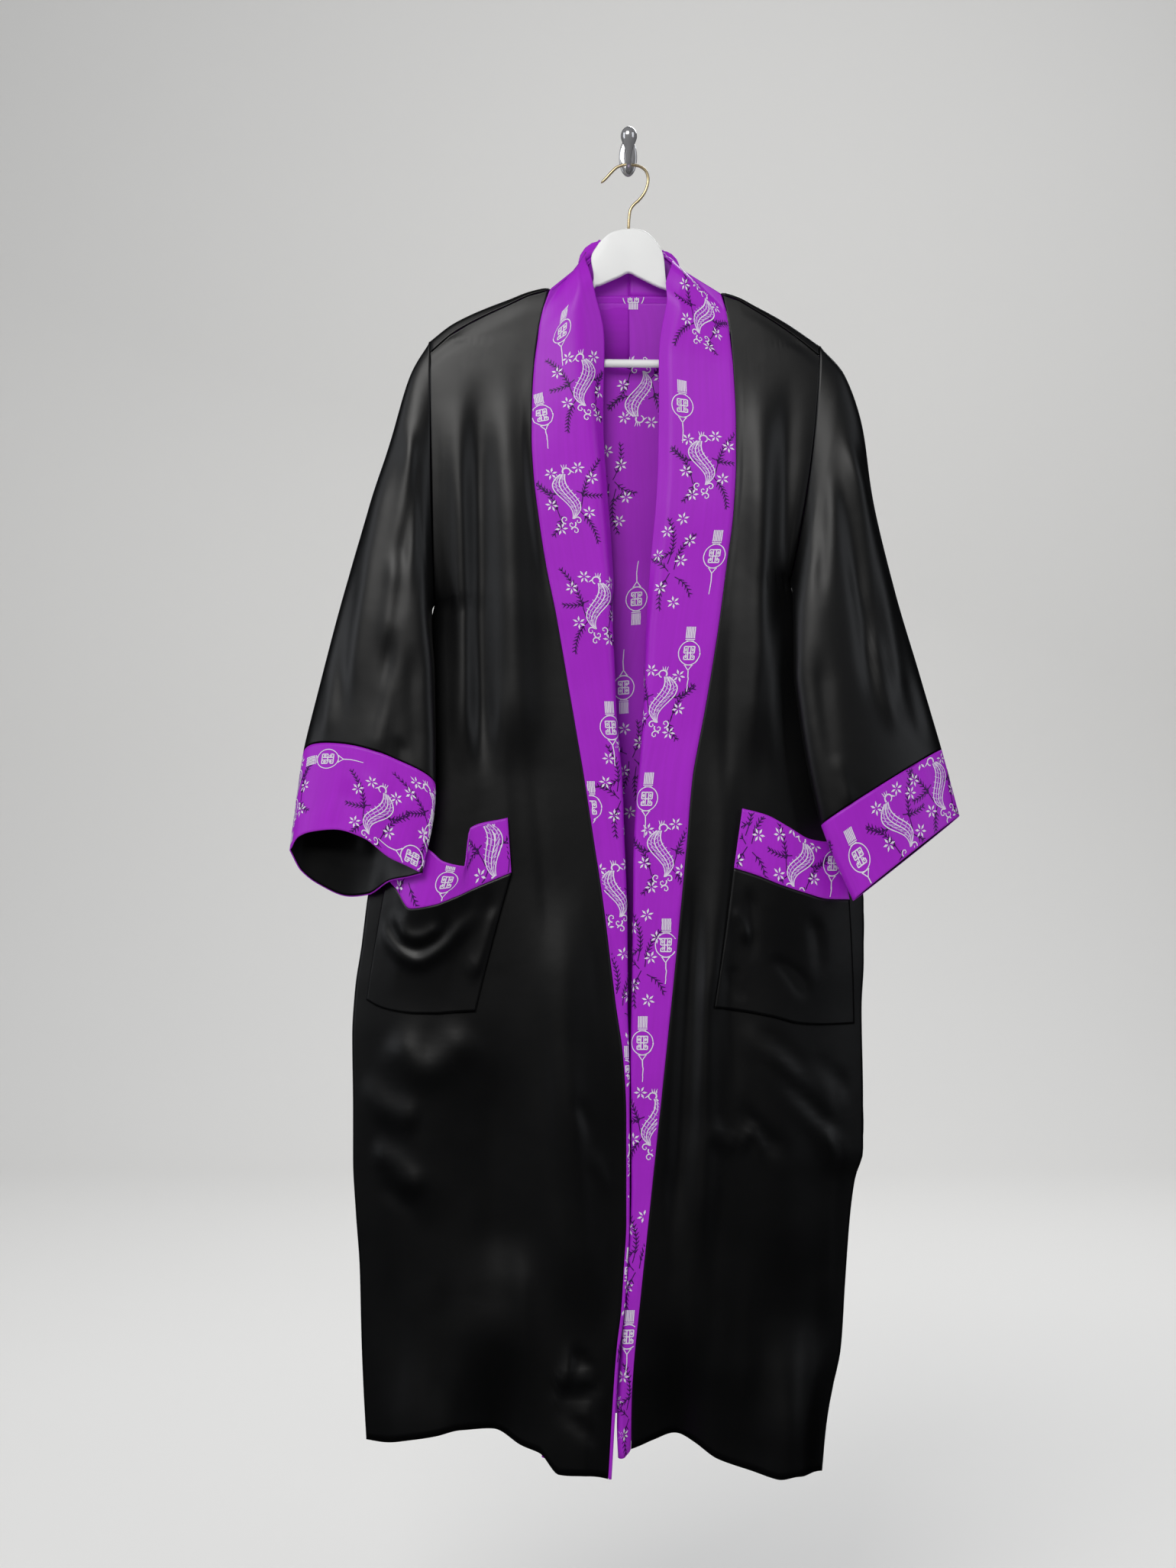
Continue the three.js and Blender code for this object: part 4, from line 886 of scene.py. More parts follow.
# The print: flat motifs in millimetres, x to the right and y up, as four-sided pieces of ink.
INKS = ["print_white", "print_pale", "print_dark"]
WHITE, PALE, DARK = range(3)
STEP = 2.4  # the longest piece of a stroke
LATTICE, STRIPE = 1.3, 1.25  # widths of the lantern's strokes, in its lattice and its tag
RING_POINTS = 30
PETALS, PETAL_LENGTH = 6, 7.4
TAG_STRIPES = 6
FEATHERS = 5
SPOKES = 9  # pairs of short strokes across the bird's back
BIRD_TOP, BIRD_LONG = 27, 50


def stroke(points, width, end_width=None, tone=WHITE):
    """Ink along a line, from one width to another."""
    p = np.asarray(points, float)
    seg = np.linalg.norm(np.diff(p, axis=0), axis=1)
    at = np.concatenate([[0], np.cumsum(seg)])
    n = max(2, int(math.ceil(at[-1] / STEP)) + 1)
    t = np.linspace(0, at[-1], n)
    line = np.stack([np.interp(t, at, p[:, 0]), np.interp(t, at, p[:, 1])], axis=1)
    path = np.gradient(line, axis=0)
    path /= np.maximum(np.linalg.norm(path, axis=1, keepdims=True), 1e-9)
    side = np.stack([-path[:, 1], path[:, 0]], axis=1)
    wide = np.linspace(width, width if end_width is None else end_width, n)[:, None] / 2
    a, b = line + side * wide, line - side * wide
    ink = np.stack([a[:-1], b[:-1], b[1:], a[1:]], axis=1)
    return [(ink, np.full(len(ink), tone))]


def loop(x, y, wide, tall, g, width, end_width=None):
    """Ink round a middle, a ring or a curl: the radii may be runs of values like the angles."""
    return stroke(np.stack([x + wide * np.cos(g), y + tall * np.sin(g)], 1), width, end_width)


def moved(ink, x=0.0, y=0.0, turn=0.0, mirror=False):
    """A copy of some ink, mirrored, turned and moved."""
    c, r = math.cos(math.radians(turn)), math.sin(math.radians(turn))
    out = []
    for shapes, tones in ink:
        q = shapes * (-1 if mirror else 1, 1)
        out.append((np.stack([x + c * q[..., 0] - r * q[..., 1],
                              y + r * q[..., 0] + c * q[..., 1]], axis=-1), tones))
    return out


def blossom(x, y, turn):
    """A star of thin pointed petals, parted at its middle."""
    ink = []
    for k in range(PETALS):
        g = math.radians(turn + 360 * k / PETALS)
        reach = np.array([math.cos(g), math.sin(g)]) * PETAL_LENGTH
        side, mid = np.array([-reach[1], reach[0]]) * 0.16, reach * 0.58
        ink.append((np.array([[reach * 0.16, mid - side, reach, mid + side]]), np.array([WHITE])))
    return moved(ink, x, y)


# Columns of LANTERN: x and y of both ends of a bar, width. The lattice comes first, then the bars
# above and below it. A bar that doesn't lie across the middle has a mirror image.
LANTERN = [
    (-5.6, 7, 5.6, 7, LATTICE), (1.6, 3.4, 5.6, 3.4, LATTICE), (-5.6, 0, 5.6, 0, LATTICE),
    (1.6, -3.4, 5.6, -3.4, LATTICE), (-5.6, -7, 5.6, -7, LATTICE), (5.6, 7, 5.6, 0, LATTICE),
    (5.6, -3.4, 5.6, -7, LATTICE), (1.6, 7, 1.6, -7, LATTICE), (3.6, 5.4, 3.6, 1.6, LATTICE),
    (3.6, -1.6, 3.6, -5.4, LATTICE), (-5.2, 14.8, 5.2, 14.8, 1), (-4, 13.2, 4, 13.2, 0.9),
    (4, -13.2, 0, -19, 1), (-4.8, -13.2, 4.8, -13.2, 1),
]


def lantern():
    """A round lantern with a striped tag above, a square fret inside and a long cord below."""
    ink = loop(0, 0, 11.6, 13, np.linspace(0, 2 * np.pi, RING_POINTS), 1)
    for x0, y0, x1, y1, width in LANTERN:
        ink += stroke([(x0, y0), (x1, y1)], width)
        if x0 != -x1:
            ink += stroke([(-x0, y0), (-x1, y1)], width)
    for x in np.linspace(-4.4, 4.4, TAG_STRIPES):
        ink += stroke([(x, 16), (x, 28.6)], STRIPE)
    return ink + stroke([(0, -18.5), (0.7, -28), (0, -42)], 1.2, 0.8)


def bird_back(t):
    """x of the middle of the bird's back, which runs down in an S."""
    return 8 * np.sin(2 * np.pi * (0.85 * t + 0.07)) + 2


def bird():
    """A long-tailed bird of nested feathers in an S, with curls at its tail."""
    ink = []
    t = np.linspace(0, 1, 20)
    swell = np.sin(np.pi * (0.08 + 0.9 * t)) * (1.15 - 0.3 * t)
    for k in range(FEATHERS):
        x = bird_back(t) + (k - 2) * 4.3 * swell
        line = np.stack([x, BIRD_TOP - BIRD_LONG * t], 1)
        ink += stroke(line, 1.4, 0.9, PALE if k % 2 else WHITE)
    for k in range(SPOKES):
        f = 0.08 + 0.09 * k
        x, y = bird_back(f), BIRD_TOP - BIRD_LONG * f
        wide = 8.6 * math.sin(math.pi * (0.1 + 0.85 * f))
        for w in (-wide, wide):
            ink += stroke([(x + w, y + 4), (x + w * 0.3, y), (x, y - 1.6)], 0.9, 0.6, PALE)
    ink += loop(1, 30, 4.4, 4, np.linspace(-0.6, 4.4, 14), 1.9, 1.1)
    ink += stroke([(-3.4, 30.6), (-7.4, 28.2)], 1.8, 0.5)
    for k in range(3):
        ink += stroke([(1.4 + 1.6 * k, 33.4), (0.4 + 3 * k, 38)], 1.2, 0.5)
    curl = np.linspace(4.6, 0.9, 16)
    for k, (x, y) in enumerate([(-7, -25), (0, -29), (7, -24), (-3, -36)]):
        ink += loop(x, y, curl, curl, np.linspace(0.6 + 2 * k, 7.2 + 2 * k, 16), 1.5, 0.9)
    return ink


def twig(long, bend, leaves, turn):
    """A thin bent twig with small leaves in pairs."""
    t = np.linspace(0, 1, 9)
    line = np.stack([bend * np.sin(np.pi * t) * 0.5, long * t], axis=1)
    ink = stroke(line, 1, 0.6, DARK)
    for k in range(leaves):
        f = 0.2 + 0.8 * k / leaves
        x, y = bend * math.sin(math.pi * f) * 0.5, long * f
        reach = 5.2 - 1.4 * f
        for side in (-1, 1):
            tip = (x + side * reach * 0.72, y + reach * 0.8)
            ink += stroke([(x, y), tip], 1.6, 0.5, DARK)
    return moved(ink, turn=turn)


def branches(twigs, blossoms, turn):
    """Twigs by length, bend, pairs of leaves, turn and place, with blossoms among them."""
    ink = []
    for *shape, x, y in twigs:
        ink += moved(twig(*shape), x, y)
    for k, (x, y) in enumerate(blossoms):
        ink += blossom(x, y, turn * k)
    return ink


CLUSTER = branches(
    [(52, 12, 9, 8, -6, 0), (44, -10, 8, -24, 2, -6), (30, 7, 5, 62, -4, -8),
     (42, 9, 7, 172, -2, -10), (30, -8, 5, -140, 4, -14), (22, -6, 4, 112, -4, 14)],
    [(-12, 36), (3, 50), (14, 26), (-18, 10), (8, 4), (-10, -26), (6, -42)], 17,
)
SPRAY = branches(
    [(60, 10, 11, 26, -12, -10), (48, -9, 9, -30, 12, -22), (40, 8, 8, 156, -10, -14),
     (32, 7, 6, -66, 8, 4), (30, -6, 6, 98, -8, 8), (26, 5, 5, -150, 10, -20)],
    [(-12, 34), (-26, 22), (18, 28), (20, -8), (-20, -16), (12, -34)], 23,
)
MOTIFS = {
    "lantern": lantern(),
    "bird": SPRAY + bird(),
    "drib": moved(SPRAY + bird(), mirror=True),
    "twigs": CLUSTER,
}

# Columns of the print's spots: motif, x and z of its middle on the cloth, and a turn in degrees
# where it has one. A drib is a bird the other way round.
SPOTS = {
    "band_left": [
        ("lantern", -71, -206), ("bird", -50, -258), ("lantern", -92, -297),
        ("drib", -66, -382), ("bird", -34, -508), ("lantern", -19.5, -635),
        ("lantern", -41, -724), ("twigs", -8, -700), ("drib", -12, -817), ("twigs", -9, -925),
        ("lantern", -14, -1010), ("bird", -22, -1110), ("lantern", -30, -1220),
        ("twigs", -30, -1310),
    ],
    "band_right": [
        ("bird", 82, -186), ("lantern", 59, -284), ("drib", 80, -345), ("lantern", 91, -445),
        ("twigs", 48, -456), ("lantern", 64, -549), ("bird", 34, -602), ("lantern", 18.7, -714),
        ("drib", 38, -768), ("lantern", 41, -870), ("twigs", 14, -890), ("lantern", 14, -972),
        ("bird", 24, -1060), ("twigs", 9, -1208), ("lantern", -1, -1290), ("twigs", 2, -1370),
    ],
    "lining": [
        ("lantern", 7, -158), ("bird", 16, -262), ("twigs", -18, -370), ("lantern", 10, -487),
        ("lantern", -5, -591), ("twigs", 2, -680),
    ],
    "pocket_band_left": [("bird", -146, -768), ("lantern", -196, -800), ("twigs", -236, -782)],
    "pocket_band_right": [("twigs", 132, -752), ("bird", 182, -782), ("lantern", 220, -780)],
}
# The same for the cuffs, with x measured outwards.
CUFF_SPOTS = {
    "left": [
        ("lantern", 233, -774, -90), ("bird", 273, -728), ("lantern", 324, -669, 90),
        ("bird", 372, -706, 20), ("lantern", 420, -720),
    ],
    "right": [("lantern", 246, -772), ("drib", 290, -740), ("bird", 335, -700)],
}
LINING_STEP = (96, 165)  # between the rest of the lining's motifs
LINING_FROM, LINING_TO = 48, 270  # how far from the middle those motifs stand
FACES_VIEWER = 0.3  # y of a flat sheet's normals on the side that is seen
BARE_ENDS, BARE_SIDES = 1, 0.8  # width without print along a sheet's edges
INK_STEP = 0.04  # how far each ink lies over the next darker one


class Cloth:
    """A sheet's outer face with lengths along it, on which flat print is laid."""

    def __init__(self, grid, flip, wrap=False):
        n = normals(grid, flip, wrap)
        self.over = lengths_over(grid, wrap)
        if not wrap:
            self.over = self.over - self.over[:, grid.shape[1] // 2, None]
        self.down = lengths_down(grid, grid.shape[1] // 2)
        if wrap:
            grid = np.concatenate([grid, grid[:, :1]], axis=1)
            n = np.concatenate([n, n[:, :1]], axis=1)
        self.grid, self.normal, self.wrap = grid, n, wrap
        self.facing = n[..., 1] < (0 if wrap else FACES_VIEWER)

    def flat(self, x, z):
        """Lengths along the sheet at the point nearest to x, z as seen from the front."""
        away = (self.grid[..., 0] - x) ** 2 + (self.grid[..., 2] - z) ** 2
        away = np.where(self.facing, away, away + 1e6)
        i, j = np.unravel_index(away.argmin(), away.shape)
        return self.over[i, j], self.down[i], i, j

    def axes(self, i, j):
        """Whether lengths over and down run to the right and up, as 1 or -1 each."""
        j0, j1 = max(j - 1, 0), min(j + 1, self.grid.shape[1] - 1)
        i0, i1 = max(i - 1, 0), min(i + 1, self.grid.shape[0] - 1)
        right = self.grid[i, j1, 0] - self.grid[i, j0, 0]
        up = self.grid[i1, j, 2] - self.grid[i0, j, 2]
        return math.copysign(1, right), math.copysign(1, up)

    def place(self, u, v):
        """Points and normals at lengths u over and v down, and which of them lie on the sheet."""
        r = np.interp(v, self.down, np.arange(len(self.down)))
        i = np.minimum(r.astype(int), len(self.down) - 2)
        k = (r - i)[:, None]
        if self.wrap:
            u = u % self.over[i, -1]
        col = np.zeros_like(u)
        last = self.over.shape[1] - 1
        for row in np.unique(i):
            m = i == row
            lengths = mix(self.over[row], self.over[row + 1], float(k[m].mean()))
            col[m] = np.interp(u[m], lengths, np.arange(last + 1))
        j = np.minimum(col.astype(int), last - 1)
        h = (col - j)[:, None]

        def sample(a):
            return mix(mix(a[i, j], a[i, j + 1], h), mix(a[i + 1, j], a[i + 1, j + 1], h), k)

        on = (v > BARE_ENDS) & (v < self.down[-1] - BARE_ENDS)
        if not self.wrap:
            on &= (u > self.over[i, 0] + BARE_SIDES) & (u < self.over[i, -1] - BARE_SIDES)
        n = sample(self.normal)
        return sample(self.grid), n / np.linalg.norm(n, axis=1, keepdims=True), on


def print_on(name, cloth, spots, upright=1):
    """Lays motifs on a cloth and returns them as one thin printed piece."""
    sizes = bpy.context.scene.robe_sizes
    corners, tones = [], []
    for motif, x, z, *turn in spots:
        u0, v0, i, j = cloth.flat(x, z)
        right, up = cloth.axes(i, j)
        starts = (u0, u0 + cloth.over[i, -1] / 2) if cloth.wrap else (u0,)
        for q, tone in moved(MOTIFS[motif], turn=turn[0] if turn else 0):
            q = q * sizes.motif_scale * upright
            for start in starts:
                corners.append(np.stack([start + right * q[..., 0], v0 + up * q[..., 1]], axis=-1))
                tones.append(tone)
    corners, tones = np.concatenate(corners), np.concatenate(tones)
    points, n, on = cloth.place(corners[..., 0].ravel(), corners[..., 1].ravel())
    keep = on.reshape(-1, 4).all(axis=1)
    lift = sizes.print_lift + INK_STEP * (DARK - tones[:, None, None])
    points = points.reshape(-1, 4, 3) + n.reshape(-1, 4, 3) * lift
    points, n, tones = points[keep], n.reshape(-1, 4, 3)[keep, 0], tones[keep]
    face = np.cross(points[:, 2] - points[:, 0], points[:, 3] - points[:, 1])
    away = (face * n).sum(axis=1) < 0
    points[away] = points[away][:, ::-1]
    index = np.arange(len(points) * 4).reshape(-1, 4).tolist()
    flat = points.reshape(-1, 3)
    piece = new_piece(name, flat, index, INKS, flat[:, [0, 2]], tones)
    return piece


# Materials.
def node_material(name, colour, roughness):
    """A material, a function that adds a node and one that feeds the shader."""
    material = bpy.data.materials.new(name)
    material.use_nodes = True
    nodes, links = material.node_tree.nodes, material.node_tree.links
    shader = nodes["Principled BSDF"]

    def feed(inputs, node=shader):
        for key, value in inputs.items():
            if isinstance(value, bpy.types.NodeSocket):
                links.new(value, node.inputs[key])
            else:
                node.inputs[key].default_value = value

    def add(kind, output, inputs=None, **settings):
        node = nodes.new("ShaderNode" + kind)
        for key, value in settings.items():
            setattr(node, key, value)
        feed(inputs or {}, node)
        return node.outputs[output]

    feed({"Base Color": (*colour, 1), "Roughness": roughness})
    return material, add, feed


def mottled(add, factor, colour, dark, light=1):
    """The colour made darker and lighter by a factor that varies over the piece."""
    ends = {key: (*(min(1, c * k) for c in colour), 1) for key, k in (("A", dark), ("B", light))}
    return add("Mix", "Result", {"Factor": factor, **ends}, data_type="RGBA")


def satin(name, colour, shine, sheen_tint, sheen, gloss):
    """Satin: a fine weave that follows the cloth, soft slubs, faint rumples and a sheen."""
    material, add, feed = node_material(name, colour, shine)
    uv = add("UVMap", "UV", uv_map="cloth")
    place = add("TexCoord", "Object")
    threads = add("TexWave", "Fac", {"Vector": uv, "Scale": 620, "Distortion": 1.2, "Detail": 1},
                  wave_type="BANDS", bands_direction="X")
    picks = add("TexWave", "Fac", {"Vector": uv, "Scale": 300, "Distortion": 0.8, "Detail": 1},
                wave_type="BANDS", bands_direction="Y")
    long_way = add("Mapping", "Vector", {"Vector": uv, "Scale": (260, 9, 1)})
    slub = add("TexNoise", "Fac", {"Vector": long_way, "Scale": 1, "Detail": 3})
    cloud = add("TexNoise", "Fac", {"Vector": place, "Scale": 9, "Detail": 3, "Roughness": 0.55})
    rumple = add("TexNoise", "Fac", {"Vector": place, "Scale": 26, "Detail": 2, "Roughness": 0.5})
    tone = add("Math", 0, {0: cloud, 1: slub}, operation="MULTIPLY")
    rough = add("MapRange", "Result",
                {"Value": cloud, "To Min": shine - 0.06, "To Max": shine + 0.08})
    weave = add("Math", 0, {0: threads, 1: picks}, operation="ADD")
    bump = add("Bump", "Normal", {"Height": weave, "Strength": 0.05, "Distance": 0.0003})
    for height, strength, distance in ((slub, 0.03, 0.0006), (rumple, 0.16, 0.0022)):
        bump = add("Bump", "Normal", {"Height": height, "Strength": strength,
                                      "Distance": distance, "Normal": bump})
    feed({"Base Color": mottled(add, tone, colour, 0.84, 1.16), "Roughness": rough,
          "Sheen Weight": sheen, "Sheen Roughness": 0.35, "Sheen Tint": (*sheen_tint, 1),
          "Specular IOR Level": gloss, "Normal": bump})
    return material


def painted_wood(name, colour):
    """White paint with faint brush marks and slightly darker rubbed patches."""
    material, add, feed = node_material(name, colour, 0.38)
    place = add("TexCoord", "Object")
    brushed = add("Mapping", "Vector", {"Vector": place, "Scale": (14, 90, 160)})
    grain = add("TexNoise", "Fac", {"Vector": brushed, "Scale": 1, "Detail": 4})
    worn = add("TexNoise", "Fac", {"Vector": place, "Scale": 22, "Detail": 3})
    rough = add("MapRange", "Result", {"Value": grain, "To Min": 0.3, "To Max": 0.45})
    bump = add("Bump", "Normal", {"Height": grain, "Strength": 0.12, "Distance": 0.0004})
    feed({"Base Color": mottled(add, worn, colour, 0.93), "Roughness": rough, "Normal": bump,
          "Coat Weight": 0.15})
    return material


def bright_metal(name, colour, roughness):
    """Polished metal with a little dulling."""
    material, add, feed = node_material(name, colour, roughness)
    place = add("TexCoord", "Object")
    dull = add("TexNoise", "Fac", {"Vector": place, "Scale": 120, "Detail": 4})
    rough = add("MapRange", "Result",
                {"Value": dull, "To Min": roughness * 0.7, "To Max": roughness * 1.6})
    feed({"Base Color": mottled(add, dull, colour, 0.85), "Roughness": rough, "Metallic": 0.7})
    return material


def matt_ground(name, colour):
    """Plain pale paper for the floor and backdrop."""
    material, add, feed = node_material(name, colour, 0.9)
    place = add("TexCoord", "Object")
    cloud = add("TexNoise", "Fac", {"Vector": place, "Scale": 0.8, "Detail": 2})
    feed({"Base Color": mottled(add, cloud, colour, 0.97)})
    return material


# Columns of LOOKS: function, colour in the panel. Satin then has its roughness, tint and weight of
# the sheen, and reflection; metal has its roughness.
LOOKS = {
    "black_satin": (satin, "black", 0.42, (0.75, 0.82, 1), 0.004, 0.55),
    "purple_satin": (satin, "print_ground", 0.42, (1, 0.5, 1), 0.05, 0.3),
    "print_white": (satin, "print_white", 0.45, (1, 1, 1), 0.1, 0.3),
    "print_pale": (satin, "print_pale", 0.42, (1, 0.9, 1), 0.1, 0.3),
    "print_dark": (satin, "print_dark", 0.42, (0.8, 0.6, 1), 0.1, 0.3),
    "white_paint": (painted_wood, "paint"),
    "brass_wire": (bright_metal, "brass", 0.2),
    "chrome": (bright_metal, "chrome", 0.09),
    "pale_ground": (matt_ground, "ground"),
}
FINISHES = {}


def finish_of(name):
    """The named finish, made once from its colour in the panel."""
    if name not in FINISHES:
        make, colour, *values = LOOKS[name]
        colour = tuple(getattr(bpy.context.scene.robe_finishes, colour))
        FINISHES[name] = make(name, colour, *values)
    return FINISHES[name]


# The panel's values.
def colour_property(name, description, default):
    return bpy.props.FloatVectorProperty(
        name=name, description=description, default=default, subtype="COLOR", min=0, max=1
    )


class RobeFinishes(bpy.types.PropertyGroup):
    """Colours of the robe, the hanger, the hooks and the floor"""

    black: colour_property("Black satin", "Colour of the robe", (0.0016, 0.0017, 0.0022))
    print_ground: colour_property("Purple satin", "Ground of the print", (0.4, 0.014, 0.6))
    print_white: colour_property("White print", "Blossoms and lanterns", (0.82, 0.76, 0.88))
    print_pale: colour_property("Pale print", "Birds and spokes", (0.68, 0.46, 0.82))
    print_dark: colour_property("Dark print", "Branches and leaves", (0.05, 0.001, 0.1))
    paint: colour_property("Hanger paint", "Colour of the hanger", (0.86, 0.86, 0.85))
    brass: colour_property("Wire", "Colour of the hanger's wire hook", (0.74, 0.6, 0.36))
    chrome: colour_property("Chrome", "Colour of the wall hook", (0.72, 0.72, 0.74))
    ground: colour_property("Floor", "Colour of the floor and backdrop", (0.82, 0.81, 0.79))


class RobeSizes(bpy.types.PropertyGroup):
    """Sizes that change how the scene is made, not the part"""

    print_lift: bpy.props.FloatProperty(
        name="Print lift", description="How far the print lies off its cloth", default=0.22,
        min=0.05, max=0.6,
    )
    motif_scale: bpy.props.FloatProperty(
        name="Motif scale", description="Size of the print's motifs", default=1, min=0.7, max=1.3,
    )
    camera_distance: bpy.props.FloatProperty(
        name="Camera distance", description="From the garment's plane to the camera",
        default=2.4, unit="LENGTH", subtype="DISTANCE",
    )


def hang(node, hangs_from):
    """Hides the model's part for the node; hangs_from is not used."""
    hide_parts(node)


def sew(node, grid, hangs_from, flip=False, wrap=False, spots=()):
    """Makes one cut of cloth, black or purple with its print, and hides the model's part for it."""
    finish = "purple_satin" if spots else "black_satin"
    cloth = shell(node + "_cloth", grid, BAND if "band" in node else CLOTH, finish, flip, wrap)
    printed = [print_on(node + "_print", Cloth(grid, flip, wrap), spots)] if spots else ()
    hang(node, hangs_from)


LINING_RISE = 1.8  # how far the lining's edge stands up at the back neck
LINING_TOP = -140  # the height that the rows of hidden motifs are counted from


def lining_spots():
    """The lining's motifs: those in the open neck, and rows of them in the hidden rest."""
    spots = list(SPOTS["lining"])
    wide, tall = LINING_STEP
    for k in range(1, 8):
        for j in range(-3, 4):
            x, z = wide * (j + k % 2 / 2), LINING_TOP - k * tall
            if LINING_FROM < abs(x) < LINING_TO:
                spots.append(("lantern" if (j + k) % 2 else "bird", x, z))
    return spots


class ROBE_OT_back(bpy.types.Operator):
    """Makes the back panel and its printed lining"""

    bl_idname = "robe.back"
    bl_label = "Back and lining"

    def execute(self, context):
        grid = fine_back()
        sew("back", grid, "hanger_body", True)
        inside = grid - normals(grid, True) * (CLOTH + 3 * GAP)
        inside = inside[BACK_FINE:, BACK_FINE:-BACK_FINE]
        neck = slice(BACK_FINE * (SHOULDER_COLS + 1), -BACK_FINE * (SHOULDER_COLS + 1))
        inside[0, neck, 2] += LINING_RISE
        lining = shell("lining_cloth", inside, CLOTH, "purple_satin", True)
        inner = inside - normals(inside, True) * CLOTH
        printed = print_on("lining_print", Cloth(inner, False), lining_spots(), -1)
        hang("back_lining", "hanger_body")
        return {"FINISHED"}


class ROBE_OT_fronts(bpy.types.Operator):
    """Makes the two front panels"""

    bl_idname = "robe.fronts"
    bl_label = "Front panels"

    def execute(self, context):
        for name, half in SIDES.items():
            sew("front_" + name, front_grid(half), "hanger_body", half["side"] < 0)
        return {"FINISHED"}


# Stations of the rings down the sleeve, where 1 is the seam between sleeve and cuff.
SLEEVE_STATIONS = np.linspace(0, 0.998, 90)
CUFF_STATIONS = np.linspace(1.003, 2, 40)
FACING_STATIONS = np.linspace(1.35, 1.99, 30)
# Columns of FACING_INSET: station, distance from the cuff's face to the facing's.
FACING_INSET = [(1.35, CLOTH + 5 * GAP), (1.7, CLOTH + 5 * GAP), (1.99, CLOTH + 0.6 * GAP)]


class ROBE_OT_sleeves(bpy.types.Operator):
    """Makes the sleeves, their printed cuffs and the plain facings inside them"""

    bl_idname = "robe.sleeves"
    bl_label = "Sleeves and cuffs"

    def execute(self, context):
        inset = np.interp(FACING_STATIONS, *zip(*FACING_INSET))[:, None, None]
        for name, half in SIDES.items():
            side, flip, cuff_name = half["side"], half["side"] < 0, "cuff_" + name
            grid = creased_rings(half, "sleeve_" + name, SLEEVE_STATIONS)
            n = normals(grid, flip, True)
            grid[0, :, 0] += side * (GAP + CLOTH * np.abs(n[0, :, 0]))
            sew("sleeve_" + name, grid, "hanger_body", flip, True)
            spots = [(motif, side * x, *rest) for motif, x, *rest in CUFF_SPOTS[name]]
            grid = creased_rings(half, cuff_name, CUFF_STATIONS)
            sew(cuff_name, grid, "sleeve_" + name, flip, True, spots)
            grid = creased_rings(half, cuff_name, FACING_STATIONS)
            grid -= normals(grid, flip, True) * inset
            sew("facing_" + name, grid, cuff_name, flip, True)
        return {"FINISHED"}


class ROBE_OT_bands(bpy.types.Operator):
    """Makes the collar band down both fronts"""

    bl_idname = "robe.bands"
    bl_label = "Collar bands"

    def execute(self, context):
        for name, half in SIDES.items():
            node = "band_" + name
            sew(node, fine_band(half), "back", half["side"] < 0, spots=SPOTS[node])
        return {"FINISHED"}


POCKET_COLS = 60
POCKET_ROWS = np.linspace(0.004, 1, 50)
POCKET_BAND_ROWS = np.linspace(-1, -1e-9, 22)
POCKET_BAND_LIFT = 0.4  # how far the pocket's band stands off its pocket


class ROBE_OT_pockets(bpy.types.Operator):
    """Makes the two patch pockets with their printed bands"""

    bl_idname = "robe.pockets"
    bl_label = "Pockets"

    def execute(self, context):
        a = np.linspace(0, 1, POCKET_COLS + 1)[None, :]
        for name, half in SIDES.items():
            pocket, band = "pocket_" + name, "pocket_band_" + name
            sew(pocket, pocket_point(half, a, POCKET_ROWS[:, None]), "front_" + name)
            grid = pocket_point(half, a, POCKET_BAND_ROWS[:, None])
            grid[..., 1] -= POCKET_BAND_LIFT
            sew(band, grid, pocket, spots=SPOTS[band])
        return {"FINISHED"}


HANGER_ROUND = 2.4  # radius of the board's edges
BAR_STEPS = 40


class ROBE_OT_hanger(bpy.types.Operator):
    """Makes the wooden hanger with its bar and wire hook"""

    bl_idname = "robe.hanger"
    bl_label = "Hanger"

    def execute(self, context):
        flat = HANGER_THICK / 2 - HANGER_ROUND
        g = np.linspace(0, np.pi / 2, 7)
        corner = np.stack([flat + HANGER_ROUND * np.sin(g), HANGER_ROUND * (1 - np.cos(g))], 1)
        rings = []
        for xt, zt, xb, zb in curved(HANGER, 4):
            top = np.array([xt, HANGER_Y, zt])
            down = np.array([xb, HANGER_Y, zb]) - top
            long = np.linalg.norm(down)
            down /= long
            run = [(-y, w) for y, w in corner] + [(-y, long - w) for y, w in corner[::-1]]
            run += [(y, long - w) for y, w in corner] + [(y, w) for y, w in corner[::-1]]
            rings.append([top + down * w + (0, y, 0) for y, w in run])
        loft("hanger_wood", rings, "hanger_body", "white_paint")
        start, end = (np.array([x, HANGER_Y, z]) for x, z in BAR)
        line = mix(start, end, np.linspace(0, 1, BAR_STEPS)[:, None])
        rings = rod_rings(line, [BAR_RADIUS] * BAR_STEPS, 32)
        loft("hanger_rail", rings, "hanger_bar", "white_paint")
        line = curved([(x, HANGER_Y, z) for x, z in WIRE], 6)
        radii = np.full(len(line), WIRE_RADIUS)
        radii[-4:] *= np.sqrt([0.96, 0.8, 0.5, 0.15])
        loft("hanger_hook", rod_rings(line, radii, 20), "hanger_wire", "brass_wire")
        return {"FINISHED"}


